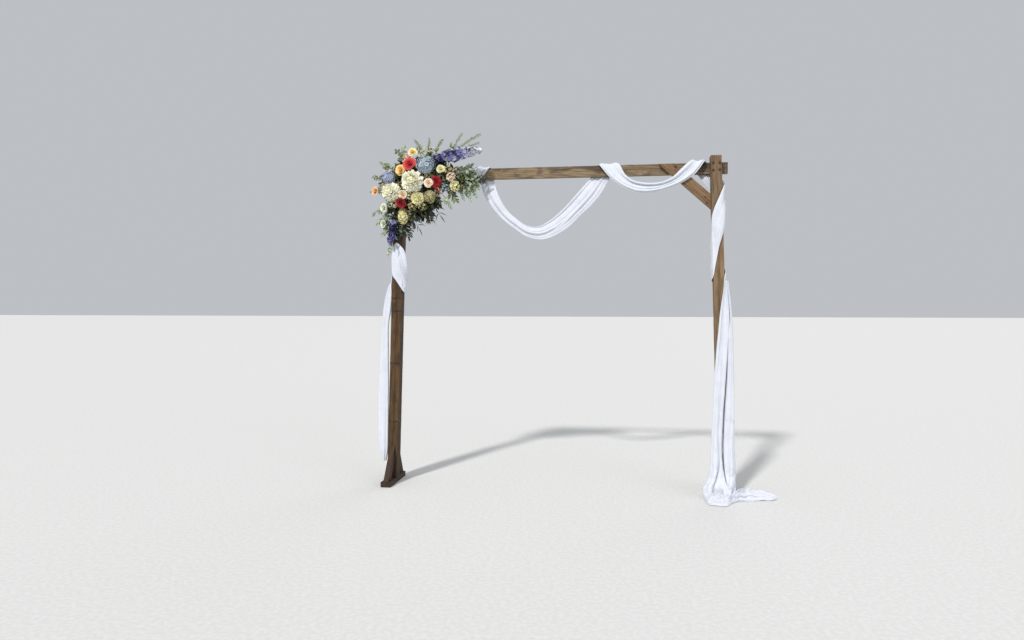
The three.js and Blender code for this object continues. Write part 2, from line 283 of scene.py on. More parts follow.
@dataclass(frozen=True)
class TimberFinish:
    """Bare or stained softwood, with growth lines, fibres, knots and rubbed edges."""

    name: str
    pale: Colour
    deep: Colour
    knot: Colour
    worn: Colour
    stain: Colour
    stain_share: float
    roughness: float

    def material(self) -> Material:
        """Makes the material. Board meshes carry their own grain coordinates.

        Returns:
            The new material.
        """
        mix = Recipe(self.name)
        grain = mix.attribute("grain")
        spread = (2.1, 10.0, 10.0)
        cell = mix.scaled(grain, spread)
        knots = mix.fill(mix.node("ShaderNodeTexVoronoi", feature="F1"), Vector=cell, Scale=1.0)
        away = mix.vector("SUBTRACT", cell, knots.outputs["Position"]).outputs[0]
        true_size = mix.scaled(away, (0.62 / spread[0], 1 / spread[1], 1 / spread[2]))
        distance = mix.vector("LENGTH", true_size).outputs["Value"]
        ragged = mix.math("ADD", distance, mix.math("MULTIPLY", mix.noise(grain, 160.0), 0.004))
        heart = mix.step(ragged, 0.0125, 0.007)
        halo = mix.step(distance, 0.05, 0.006)

        pulled = mix.node("ShaderNodeCombineXYZ")
        mix.feed(pulled.inputs[1], mix.math("MULTIPLY", halo, 0.012))
        swept = mix.vector("ADD", mix.scaled(grain, (0.05, 1.0, 0.62)), pulled.outputs[0]).outputs[0]
        bands = {"wave_type": "BANDS", "bands_direction": "DIAGONAL", "wave_profile": "SAW"}
        lines = mix.node("ShaderNodeTexWave", **bands)
        mix.fill(lines, Vector=swept, Scale=58.0, Distortion=5.5, Detail=2.0, Detail_Scale=0.55)
        rings = mix.math("POWER", lines.outputs["Fac"], 1.6)

        streak = mix.noise(mix.scaled(grain, (1.1, 26.0, 26.0)), 1.0, 4.0, 0.4)
        fibre = mix.noise(mix.scaled(grain, (11.0, 520.0, 520.0)), 1.0, 3.0)
        patch = mix.noise(mix.scaled(grain, (6.0, 13.0, 13.0)), 1.0, 3.0, 0.6)
        crack = mix.step(mix.noise(mix.scaled(grain, (2.4, 95.0, 95.0)), 1.0, 1.0, 0.3), 0.30, 0.24)

        dark_streak = mix.step(streak, 0.34, 0.70, 0.0, 0.62)
        depth = mix.math("ADD", mix.math("MULTIPLY", rings, 0.5), dark_streak, True)
        colour = mix.blend(depth, self.pale, self.deep)
        colour = mix.blend(mix.step(patch, 0.45, 0.64, 0.0, self.stain_share), colour, self.stain)
        colour = mix.blend(mix.math("MULTIPLY", halo, 0.35), colour, self.deep)
        colour = mix.blend(mix.math("MULTIPLY", heart, 0.85), colour, self.knot)
        mottle = mix.noise(mix.scaled(grain, (8.0, 60.0, 60.0)), 1.0, 2.0, 0.3)
        fine = mix.step(fibre, 0.25, 0.75, 0.80, 1.10)
        colour = mix.shaded(colour, mix.math("MULTIPLY", fine, mix.step(mottle, 0.34, 0.66, 0.80, 1.18)))
        colour = mix.blend(mix.math("MULTIPLY", crack, 0.55), colour, self.knot)

        thick, wide, along = mix.parts(mix.attribute("rim"))
        edge = mix.math("MINIMUM", mix.math("ABSOLUTE", thick), mix.math("ABSOLUTE", wide))
        rough_edge = mix.math("ADD", edge, mix.math("MULTIPLY", mix.noise(grain, 55.0), 0.16))
        colour = mix.blend(mix.step(rough_edge, 0.98, 1.10, 0.0, 0.55), colour, self.worn)
        colour = mix.blend(mix.step(along, 0.035, 0.0, 0.0, 0.35), colour, self.knot)

        relief = mix.math("ADD", mix.math("MULTIPLY", fibre, 0.5), mix.math("MULTIPLY", rings, -0.35))
        relief = mix.math("SUBTRACT", relief, mix.math("MULTIPLY", crack, 1.2))
        relief = mix.math("SUBTRACT", relief, mix.math("MULTIPLY", heart, 0.5))
        mix.surface(
            Base_Color=colour,
            Roughness=mix.step(fibre, 0.2, 0.8, self.roughness - 0.08, self.roughness + 0.1),
            Specular_IOR_Level=0.3,
            Normal=mix.bump(relief, 0.0012, 0.55),
        )
        return mix.material


@dataclass(frozen=True)
class ChiffonFinish:
    """Fine woven cloth with a soft crepe surface."""

    name: str
    colour: Colour
    shade: Colour
    # painted shade: the colour the cloth is drawn deep in a crease
    crease: Colour

    def material(self) -> Material:
        """Makes the material, with a weave of fine threads and painted shade deep down in the creases.

        Returns:
            The new material.
        """
        mix = Recipe(self.name)
        place, weave = mix.place(), mix.attribute("weave")
        threads: list[Socket] = []
        for direction in ("X", "Y"):
            wave = mix.node("ShaderNodeTexWave", wave_type="BANDS", bands_direction=direction)
            mix.fill(wave, Vector=weave, Scale=380.0, Distortion=1.2, Detail=1.0)
            threads.append(wave.outputs["Fac"])
        crepe = mix.noise(place, 900.0, 2.0)
        soft = mix.noise(place, 24.0, 3.0)
        slub = mix.noise(mix.scaled(weave, (14.0, 300.0, 1.0)), 1.0, 2.0)
        colour = mix.blend(mix.step(soft, 0.35, 0.7, 0.0, 0.4), self.colour, self.shade)
        colour = mix.blend(mix.step(slub, 0.55, 0.75, 0.0, 0.12), colour, self.shade)
        # painted shade: darker where the weave's third part says the cloth lies deep in a crease
        colour = mix.blend(mix.step(mix.parts(weave)[2], 0.22, 0.75, 0.0, 0.9), colour, self.crease)
        relief = mix.math("ADD", mix.math("MULTIPLY", mix.math("ADD", *threads), 0.3), crepe)
        relief = mix.math("ADD", relief, mix.math("MULTIPLY", soft, 2.0))
        mix.surface(
            Base_Color=colour, Roughness=0.9, Specular_IOR_Level=0.15, Sheen_Weight=0.15,
            Sheen_Roughness=0.5, Normal=mix.bump(relief, 0.0004, 0.14),
        )
        return mix.material


@dataclass(frozen=True)
class PlantFinish:
    """Petals or leaves, coloured at each point of the mesh."""

    name: str
    roughness: float
    sheen: float
    through: float
    mottle: float
    vein: float

    def material(self) -> Material:
        """Makes the material from the mesh's own tint, with mottling and fine veins.

        Returns:
            The new material.
        """
        mix = Recipe(self.name)
        place, tint = mix.place(), mix.attribute("tint", "Color")
        spots = mix.noise(place, 95.0, 3.0)
        fine = mix.noise(place, 620.0, 2.0)
        shade = mix.step(spots, 0.3, 0.72, 1.0 - self.mottle, 1.0 + self.mottle * 0.5)
        colour = mix.shaded(tint, shade)
        relief = mix.math("ADD", mix.math("MULTIPLY", fine, 0.5), spots)
        normal = mix.bump(relief, 0.0009, self.vein)
        shader = mix.surface(
            Base_Color=colour, Roughness=self.roughness, Specular_IOR_Level=0.4,
            Sheen_Weight=self.sheen, Normal=normal,
        )
        mix.let_light_through(shader, colour, self.through, normal)
        return mix.material


@dataclass(frozen=True)
class HardFinish:
    """Dull metal or plastic with fine scuffs."""

    name: str
    colour: Colour
    scuffed: Colour
    roughness: float
    metal: float

    def material(self) -> Material:
        """Makes the material, with worn spots and an uneven shine.

        Returns:
            The new material.
        """
        mix = Recipe(self.name)
        place = mix.place()
        wear = mix.noise(place, 210.0, 4.0)
        fine = mix.noise(place, 1500.0, 2.0)
        mix.surface(
            Base_Color=mix.blend(mix.step(wear, 0.45, 0.7), self.colour, self.scuffed),
            Metallic=self.metal,
            Roughness=mix.step(wear, 0.3, 0.7, self.roughness - 0.1, self.roughness + 0.15),
            Normal=mix.bump(fine, 0.0002, 0.3),
        )
        return mix.material


BEAM_TIMBER = TimberFinish(
    "beam_timber", srgb(138, 119, 92), srgb(84, 68, 52), srgb(48, 36, 28), srgb(156, 144, 128),
    srgb(76, 64, 56), 0.85, 0.76,
)
POST_TIMBER = TimberFinish(
    "post_timber", srgb(140, 116, 87), srgb(94, 72, 51), srgb(50, 35, 25), srgb(152, 132, 104),
    srgb(106, 90, 72), 0.65, 0.76,
)
BRACE_TIMBER = TimberFinish(
    "brace_timber", srgb(136, 110, 80), srgb(96, 72, 50), srgb(54, 38, 27), srgb(156, 132, 102),
    srgb(98, 82, 66), 0.5, 0.76,
)
DARK_TIMBER = TimberFinish(
    "dark_timber", srgb(92, 67, 37), srgb(46, 32, 17), srgb(24, 16, 9), srgb(116, 90, 58),
    srgb(52, 38, 24), 0.75, 0.72,
)
# painted shade: the feet's boards are the same wood drawn much darker, for the shade low down round the feet
SHADED_FOOT_TIMBER = TimberFinish(
    "foot_timber_painted_shade", srgb(78, 57, 43), srgb(48, 35, 26), srgb(26, 18, 13), srgb(96, 76, 60),
    srgb(58, 47, 40), 0.6, 0.78,
)
# the last colour is the painted shade deep in the creases
CHIFFON = ChiffonFinish("chiffon", srgb(205, 209, 217), srgb(192, 196, 211), srgb(84, 82, 84))
PETALS = PlantFinish("petals", 0.62, 0.15, 0.27, 0.06, 0.2)
LEAVES = PlantFinish("leaves", 0.46, 0.0, 0.14, 0.28, 0.4)
BOLT_STEEL = HardFinish("bolt_steel", srgb(70, 52, 44), srgb(112, 80, 62), 0.6, 0.6)
TIE_PLASTIC = HardFinish("tie_plastic", srgb(20, 17, 14), srgb(36, 30, 25), 0.5, 0.0)


@cache
def dress(finish: TimberFinish | ChiffonFinish | PlantFinish | HardFinish) -> Material:
    """Makes a finish's material the first time, and hands out the same one after that."""
    return finish.material()


# Mesh making


class Shape:
    """Points, faces and point values of one mesh while it is made."""

    def __init__(self) -> None:
        """Starts an empty shape."""
        self.points: list[Array] = []
        self.faces: list[tuple[int, ...]] = []
        self.tints: list[Array] = []
        self.weaves: list[Array] = []
        self.count = 0

    def add(
        self,
        points: Array,
        faces: Iterable[tuple[int, ...]],
        tint: Array | None = None,
        weave: Array | None = None,
    ) -> None:
        """Adds points and the faces between them.

        Args:
            points: An array of places, in metres.
            faces: Faces as indices into those points.
            tint: A linear colour for each point.
            weave: Cloth coordinates for each point, in metres, with a third part that sets the painted shade
                in creases.
        """
        points = np.asarray(points, dtype=float).reshape(-1, 3)
        shift = self.count
        self.points.append(points)
        self.faces.extend(tuple(shift + k for k in face) for face in faces)
        self.count += len(points)
        if tint is not None:
            self.tints.append(np.asarray(tint, dtype=float).reshape(-1, 3))
        if weave is not None:
            self.weaves.append(np.asarray(weave, dtype=float).reshape(-1, 3))

    def sheet(
        self,
        grid: Array,
        tint: Array | None = None,
        weave: Array | None = None,
        around: bool = False,
        holes: Array | None = None,
    ) -> None:
        """Adds a grid of points as a sheet of four-sided faces.

        Args:
            grid: Points as rows and columns.
            tint: Colours laid out as the points are.
            weave: Cloth coordinates laid out as the points are, with a third part that sets the painted
                shade in creases.
            around: Whether the last column joins the first.
            holes: Which faces are left out, as rows and columns.
        """
        rows, columns = grid.shape[:2]
        faces = []
        for r in range(rows - 1):
            for c in range(columns if around else columns - 1):
                if holes is not None and holes[r, c]:
                    continue
                here, beside = r * columns + c, r * columns + (c + 1) % columns
                faces.append((here, beside, beside + columns, here + columns))
        self.add(grid, faces, tint, weave)

    def make(self, name: str, material: Material, smooth: bool = True) -> Piece:
        """Turns the shape into an object in the arch's place.

        Args:
            name: The piece's name.
            material: Its finish.
            smooth: Whether its faces shade smoothly.

        Returns:
            The new object.
        """
        mesh = bpy.data.meshes.new(name)
        mesh.from_pydata(np.concatenate(self.points).tolist(), [], self.faces)
        if self.tints:
            colours = np.concatenate(self.tints)
            layer = mesh.attributes.new("tint", "FLOAT_COLOR", "POINT")
            layer.data.foreach_set("color", np.insert(colours, 3, 1.0, axis=1).ravel())
        if self.weaves:
            layer = mesh.attributes.new("weave", "FLOAT_VECTOR", "POINT")
            layer.data.foreach_set("vector", np.concatenate(self.weaves).ravel())
        mesh.validate()
        mesh.polygons.foreach_set("use_smooth", [smooth] * len(mesh.polygons))
        return set_up(name, mesh, material)


def set_up(name: str, mesh: bpy.types.Mesh, material: Material) -> Piece:
    """Puts a mesh into the scene in the arch's place.

    Args:
        name: The piece's name.
        mesh: Its mesh, in the arch's own coordinates.
        material: Its finish.

    Returns:
        The new object.
    """
    mesh.materials.append(material)
    piece = bpy.data.objects.new(name, mesh)
    piece.location = ORIGIN
    bpy.context.collection.objects.link(piece)
    bpy.context.view_layer.update()
    return piece


def hand_in(piece: Piece, slot: str, *nodes: str) -> Piece:
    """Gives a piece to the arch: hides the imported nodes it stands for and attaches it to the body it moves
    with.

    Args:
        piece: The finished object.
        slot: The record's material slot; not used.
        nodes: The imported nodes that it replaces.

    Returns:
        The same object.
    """
    if nodes:
        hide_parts(*nodes)
    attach(piece, BODY)
    log.info("%s: %d faces", piece.name, len(piece.data.polygons))
    return piece


def along_curve(points: Sequence[Sequence[float]], shares: Array) -> Array:
    """Follows a smooth line through points.

    Args:
        points: Places on the line, of any dimension.
        shares: Positions along it, counted in points from 0.

    Returns:
        One place for each share.
    """
    knots = np.asarray(points, dtype=float)
    padded = np.vstack([2 * knots[0] - knots[1], knots, 2 * knots[-1] - knots[-2]])
    shares = np.clip(np.asarray(shares, dtype=float), 0, len(knots) - 1)
    base = np.minimum(shares.astype(int), len(knots) - 2)
    t = (shares - base)[:, None]
    p0, p1, p2, p3 = (padded[base + k] for k in range(4))
    return 0.5 * (
        2 * p1 + (p2 - p0) * t + (2 * p0 - 5 * p1 + 4 * p2 - p3) * t**2 + (3 * p1 - p0 - 3 * p2 + p3) * t**3
    )


def summed(steps: Array) -> Array:
    """Adds steps up from 0."""
    return np.concatenate([[0], np.cumsum(steps)])


def travel(line: Array) -> Array:
    """Measures how far along a line each of its points lies."""
    return summed(np.linalg.norm(np.diff(line, axis=0), axis=1))


def unit(vector: Array) -> Array:
    """Gives a vector the length 1."""
    return vector / np.maximum(np.linalg.norm(vector, axis=-1, keepdims=True), 1e-9)


def evenly(points: Sequence[Sequence[float]], count: int) -> Array:
    """Spaces places evenly by length on a smooth line through points.

    Args:
        points: Places on the line.
        count: How many to make.

    Returns:
        The new places.
    """
    fine = along_curve(points, np.linspace(0, len(points) - 1, 40 * len(points)))
    lengths = travel(fine)
    wanted = np.linspace(0, lengths[-1], count)
    return np.stack([np.interp(wanted, lengths, fine[:, k]) for k in range(fine.shape[1])], axis=1)


def ripple(places: Array, scale: float, seed: float) -> Array:
    """Gives a smooth random value, about -1 to 1, at each place.

    Args:
        places: Where, in metres.
        scale: How quickly it varies.
        seed: Which pattern.

    Returns:
        One value for each place.
    """
    shift = Vector((seed * 3.7, seed * 1.3, seed * 7.1))
    flat = places.reshape(-1, 3)
    values = np.fromiter((noise.noise(Vector(p) * scale + shift) for p in flat), float, len(flat))
    return values.reshape(places.shape[:-1])


def crumple(places: Array, seed: float) -> Array:
    """Gives the depth of winding creases, from 0 to about 2, at each place.

    Args:
        places: Where, in metres.
        seed: Which pattern.

    Returns:
        One depth for each place.
    """
    large = np.exp(-((ripple(places, 8.0, seed + 5) / 0.13) ** 2))
    small = np.exp(-((ripple(places, 15.0, seed + 8) / 0.12) ** 2))
    return large + 0.8 * small


# Timber frame


@dataclass(frozen=True)
class Board:
    """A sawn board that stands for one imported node."""

    node: str
    along: Vec
    thickness: Vec
    finish: TimberFinish
    slot: str
    seed: int
    bevel: float = 0.0026
    worn_from: float = 0.86
    nick: float = 0.0030

    def build(self) -> Piece:
        """Eases the board's edges, roughens them a little and lays its grain.

        Returns:
            The board's new object.
        """
        mesh = self.eased()
        axis = Vector(self.along).normalized()
        thick = Vector(self.thickness)
        thick = (thick - axis * thick.dot(axis)).normalized()
        wide = axis.cross(thick)
        sides = np.array([axis, thick, wide])
        places = np.array([v.co for v in mesh.verts]) @ sides.T
        low, high = places.min(axis=0), places.max(axis=0)
        for cut in np.arange(low[0] + 0.03, high[0] - 0.01, 0.045):
            bmesh.ops.bisect_plane(
                mesh, geom=list(mesh.verts) + list(mesh.edges) + list(mesh.faces),
                plane_co=axis * float(cut), plane_no=axis, dist=1e-5,
            )
        middle, half = (low + high) / 2, (high - low) / 2
        rng = random.Random(self.seed)
        shift = np.array([rng.uniform(2, 40) for _ in range(3)])
        rims, grains = [], []
        for vert in mesh.verts:
            local = sides @ np.array(vert.co)
            share = (local - middle) / half
            nearness = max(0.0, min(abs(share[1]), abs(share[2])) - self.worn_from) / (1 - self.worn_from)
            rough = max(0.0, noise.noise(vert.co * 33 + Vector((self.seed, 0, 0))) - 0.12)
            inward = -(thick * math.copysign(1, share[1]) + wide * math.copysign(1, share[2]))
            vert.co += inward * (nearness * rough * self.nick)
            grains.append(local + shift)
            rims.append((share[1], share[2], (share[0] + 1) / 2))
        made = bpy.data.meshes.new(self.node)
        mesh.to_mesh(made)
        mesh.free()
        for name, values in (("grain", grains), ("rim", rims)):
            layer = made.attributes.new(name, "FLOAT_VECTOR", "POINT")
            layer.data.foreach_set("vector", np.array(values).ravel())
        return hand_in(set_up(f"board_{self.node}", made, dress(self.finish)), self.slot, self.node)

    def eased(self) -> bmesh.types.BMesh:
        """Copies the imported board, joins its flat faces and rounds its edges.

        Returns:
            The eased mesh, in the arch's own coordinates.
        """
        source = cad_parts[self.node]
        mesh = bmesh.new()
        mesh.from_mesh(source.data)
        bmesh.ops.transform(mesh, matrix=source.matrix_world, verts=mesh.verts)
        bmesh.ops.translate(mesh, vec=-ORIGIN, verts=mesh.verts)
        bmesh.ops.remove_doubles(mesh, verts=mesh.verts, dist=1e-5)
        bmesh.ops.dissolve_limit(mesh, angle_limit=math.radians(2), verts=mesh.verts, edges=mesh.edges)
        bmesh.ops.bevel(
            mesh, geom=list(mesh.edges), offset=self.bevel, segments=2, profile=0.6, affect="EDGES",
            clamp_overlap=True,
        )
        return mesh


@dataclass
class TimberFrame:
    """Two leaning posts on braced feet, a top beam and two knee braces."""

    knee_slope: float = 0.9

    def boards(self) -> list[Board]:
        """Lists the frame's boards, each with its length's direction and its thin side's.

        Returns:
            All thirteen boards.
        """
        made: list[Board] = []
        for sign, side, timber, slot in (
            (-1, "left", DARK_TIMBER, "timber_dark"),
            (1, "right", POST_TIMBER, "timber_pale"),
        ):
            rise = (-sign * LEAN, 0.0, 1.0)
            for k, which in enumerate(("outer", "inner")):
                name = f"{side}_post_{which}_board"
                made.append(Board(name, rise, ALONG_X, timber, slot, 11 + 7 * k + sign))
            made.append(Board(f"{side}_foot", ALONG_Y, ALONG_Z, SHADED_FOOT_TIMBER, "timber_foot", 31 + sign))
            for place, way in (("front", -1), ("back", 1)):
                name = f"{side}_foot_brace_{place}"
                slope = (0.0, -way * FOOT_RUN, FOOT_RISE)
                seed = 41 + 3 * way + sign
                made.append(Board(name, slope, ALONG_X, SHADED_FOOT_TIMBER, "timber_foot", seed))
            lean = (-sign / self.knee_slope, 0.0, 1.0)
            made.append(Board(f"{side}_knee_brace", lean, ALONG_Y, BRACE_TIMBER, "timber_pale", 61 + sign))
        made.append(Board("top_beam", ALONG_X, ALONG_Y, BEAM_TIMBER, "timber_pale", 71))
        return made

    def build(self) -> None:
        """Builds every board."""
        for board in self.boards():
            board.build()


@dataclass(frozen=True)
class HexBolt:
    """A bolt's head, washer or nut, set on a face."""

    place: Vec
    facing: Vec
    across: float = 0.0135
    height: float = 0.0055
    washer: float = 0.0100
    stub: float = 0.0

    def add_to(self, shape: Shape, turn: float) -> None:
        """Adds the washer, the six-sided head and, on a nut, the bolt's end.

        Args:
            shape: What to add them to.
            turn: How far the head is turned, in radians.
        """
        facing = Vector(self.facing).normalized()
        side = facing.orthogonal().normalized()
        other = facing.cross(side)
        top, washer, shank, tip = self.height, 0.0016, 0.0042, 0.0001
        # height above the face, radius, and whether the ring is six-sided
        rows = [
            (0.0, self.washer, False), (0.0010, self.washer, False), (washer, self.washer * 0.94, False),
            (washer, self.across * 0.52, False), (washer, self.across * 0.5, True),
            (top, self.across * 0.5, True), (top + 0.0008, self.across * 0.44, False),
        ]
        if self.stub:
            end = top + self.stub
            rows += [(top + 0.0008, shank, False), (end, shank, False)]
            rows += [(end + 0.0006, shank * 0.81, False), (end + 0.0006, tip, False)]
        else:
            rows += [(top + 0.0011, self.across * 0.3, False), (top + 0.0012, tip, False)]
        count, step = 24, math.pi / 3
        grid = np.zeros((len(rows), count, 3))
        for r, (height, radius, six_sided) in enumerate(rows):
            for c in range(count):
                angle = 2 * math.pi * c / count + turn
                reach = radius / math.cos((angle - turn) % step - step / 2) if six_sided else radius
                sideways = side * math.cos(angle) + other * math.sin(angle)
                grid[r, c] = Vector(self.place) + facing * height + sideways * reach
        shape.sheet(grid, around=True)


@dataclass
class Fixings:
    """Bolts through the posts and beam, and screws in the braces."""

    half_pitch: float = 0.0245
    levels: tuple[float, float] = (2.334, 2.384)
    knee_level: float = 2.15
    knee_front: float = 0.0065
    knee_screws: tuple[Flat, ...] = ((2.105, 0.028), (2.150, 0.040))
    foot_levels: tuple[float, float] = (0.14, 0.20)
    sunk: float = 0.0008

    def build(self) -> None:
        """Builds the bolt heads in front, their nuts behind, and the screws."""
        heads, nuts, screws = Shape(), Shape(), Shape()
        rng = random.Random(5)
        for base, sign in ((LEFT_BASE, -1), (RIGHT_BASE, 1)):
            for level in self.levels:
                middle = base - sign * LEAN * level
                for shift in (-self.half_pitch, self.half_pitch):
                    x = middle + shift + rng.uniform(-0.002, 0.002)
                    z = level + rng.uniform(-0.002, 0.002)
                    HexBolt((x, -POST_HALF_DEPTH, z), TO_FRONT).add_to(heads, rng.uniform(0, 1))
                    HexBolt((x, BEAM_BACK, z), ALONG_Y, stub=0.008).add_to(nuts, rng.uniform(0, 1))
            inner = base - sign * (LEAN * self.knee_level + POST_HALF_WIDTH)
            for level, reach in self.knee_screws:
                spot = (inner - sign * reach, self.knee_front, level)
                HexBolt(spot, TO_FRONT, 0.009, 0.0028, 0.0058).add_to(screws, rng.uniform(0, 1))
            for way in (-1, 1):
                for level in self.foot_levels:
                    left_over = (FOOT_THICK + FOOT_RISE - level) / FOOT_RISE
                    depth = POST_HALF_DEPTH + left_over * FOOT_RUN - self.sunk
                    spot = (base - sign * LEAN * level, way * depth, level)
                    facing = (0.0, way * FOOT_RISE, FOOT_RUN)
                    HexBolt(spot, facing, 0.008, 0.0026, 0.0052).add_to(screws, rng.uniform(0, 1))
        steel = dress(BOLT_STEEL)
        for name, shape in (("bolt_heads", heads), ("bolt_nuts", nuts), ("brace_screws", screws)):
            hand_in(shape.make(name, steel, smooth=False), "timber_pale")


@dataclass
class PostTies:
    """Thin ties pulled tight round the left post, each with its lock and a cut tail."""

    levels: tuple[float, ...] = (0.473, 0.919, 1.320, 1.420)
    height: float = 0.0064
    thickness: float = 0.0018
    corner: float = 0.003
    lock: Vec = (0.0042, 0.0028, 0.0040)
    tail: Vec = (0.007, 0.0007, 0.0019)

    def build(self) -> None:
        """Builds the four ties."""
        for k, level in enumerate(self.levels):
            self.build_tie(k, level)

    def build_tie(self, k: int, level: float) -> None:
        """Builds one tie.

        Args:
            k: Which tie, from 0.
            level: Its height above the ground.
        """
        shape = Shape()
        middle = LEFT_BASE + LEAN * level
        half = (POST_HALF_WIDTH + 0.0004, POST_HALF_DEPTH + 0.0004)
        loop: list[Flat] = []
        for cx, cy, start in ((1, 1, 0.0), (-1, 1, 0.5), (-1, -1, 1.0), (1, -1, 1.5)):
            for part in range(5):
                angle = math.pi * (start + part / 8)
                loop.append((
                    cx * (half[0] - self.corner) + self.corner * math.cos(angle),
                    cy * (half[1] - self.corner) + self.corner * math.sin(angle),
                ))
        profile = ((0, -1), (1, -0.8), (1, 0.8), (0, 1))
        grid = np.zeros((len(profile), len(loop), 3))
        for r, (out, up) in enumerate(profile):
            for c, (x, y) in enumerate(loop):
                size = math.hypot(x, y)
                grow = 1 + out * self.thickness / size
                slant = 0.0012 * math.sin(k * 2.1 + math.atan2(y, x))
                grid[r, c] = (middle + x * grow, y * grow, level + up * self.height / 2 + slant)
        shape.sheet(grid, around=True)
        lock_x = middle + (0.018 - 0.011 * k)
        tail_x = lock_x + 0.009 + 0.001 * k
        shape.add(*self.block((lock_x, -half[1] - self.lock[1], level), self.lock))
        shape.add(*self.block((tail_x, -half[1] - 0.0031, level + 0.0004), self.tail))
        piece = shape.make(f"tie_{k + 1}", dress(TIE_PLASTIC), smooth=False)
        hand_in(piece, "tie", f"left_post_tie_{k + 1}")

    def block(self, middle: Vec, half: Vec) -> tuple[Array, list[tuple[int, ...]]]:
        """Makes a small block with chamfered upright edges.

        Args:
            middle: Its centre.
            half: Half its sizes.

        Returns:
            Its points and faces.
        """
        cut = 0.75
        ring = [(1, cut), (cut, 1), (-cut, 1), (-1, cut), (-1, -cut), (-cut, -1), (cut, -1), (1, -cut)]
        points = np.array([(x, y, z) for z in (-1, 1) for x, y in ring]) * half + middle
        faces: list[tuple[int, ...]] = [(k, (k + 1) % 8, 8 + (k + 1) % 8, 8 + k) for k in range(8)]
        faces += [tuple(range(7, -1, -1)), tuple(range(8, 16))]
        return points, faces


# Cloth


class Timber(Enum):
    """Timbers that cloth lies against."""

    LEFT_POST = "left post"
    RIGHT_POST = "right post"
    BEAM = "beam"
    FOOT_BRACE = "front brace of the right foot"
    GROUND = "ground"


def clear_of(points: Array, timbers: Iterable[Timber], gap: Array) -> Array:
    """Moves cloth that would be inside a timber out to its surface.

    Args:
        points: Places of the cloth.
        timbers: What the cloth passes.
        gap: How far each place stays off the wood.

    Returns:
        The places, moved where they have to be.
    """
    moved = points.copy()
    x, y, z = moved[..., 0], moved[..., 1], moved[..., 2]
    for timber in timbers:
        if timber is Timber.GROUND:
            z[...] = np.maximum(z, OFF_GROUND)
            continue
        if timber is Timber.BEAM:
            faces = (
                (y, BEAM_FRONT - gap), (y, BEAM_BACK + gap), (z, BEAM_BOTTOM - gap), (z, BEAM_TOP + gap),
            )
            outs = np.stack([(values - face) * (-1) ** k for k, (values, face) in enumerate(faces)], axis=-1)
            inside = (outs > 0).all(axis=-1) & (np.abs(x - BEAM_MIDDLE) < BEAM_HALF_LENGTH)
            nearest = outs.argmin(axis=-1)
            for k, (values, face) in enumerate(faces):
                chosen = inside & (nearest == k)
                values[chosen] = face[chosen]
            continue
        if timber is Timber.FOOT_BRACE:
            sloping = FOOT_RUN * (1 - (z - FOOT_THICK) / FOOT_RISE)
            face = -POST_HALF_DEPTH - sloping - 2 * gap
            beside = np.abs(x - RIGHT_BASE) < FOOT_THICK / 2 + 2 * gap
            inside = beside & (sloping > 0) & (y > face) & (y < 0)
            y[inside] = face[inside]
            continue
        sign = -1 if timber is Timber.LEFT_POST else 1
        base = LEFT_BASE if sign < 0 else RIGHT_BASE
        across = x - (base - sign * LEAN * z)
        share = np.maximum(np.abs(across) / (POST_HALF_WIDTH + gap), np.abs(y) / (POST_HALF_DEPTH + gap))
        inside = (share < 1) & (share > 0.05) & (z < POST_TOP)
        x[inside] += (across / share - across)[inside]
        y[inside] /= share[inside]
    return moved


FLAT_CLOTH = ((0.5, 0.0), (0.5, 0.0))
TOP_CREASES = ((0.42, 0.016), (0.72, 0.010))
LOW_CREASES = ((0.36, 0.018), (0.66, 0.004))


@dataclass(frozen=True)
class Station:
    """One place along a strip of cloth.

    Its two edges are a and b, and out points away from what the cloth lies on.
    The strip is folded into a flat roll: front and back are how far the roll
    stands out on either side, and creases are two deep folds, each with its place
    across the roll, from 0 at a to 1 at b, and its depth.
    """

    a: Vec
    b: Vec
    out: Vec
    front: float = 0.012
    back: float = 0.003
    creases: tuple[Flat, Flat] = FLAT_CLOTH
    pleat: float = 1.0


Row = tuple[Vec, Vec, Vec, float, float]


def stations_from(rows: Iterable[Row]) -> list[Station]:
    """Makes plain stations from rows of a, b, the way out, the roll's front and its pleat."""
    return [Station(a, b, out, front, pleat=pleat) for a, b, out, front, pleat in rows]


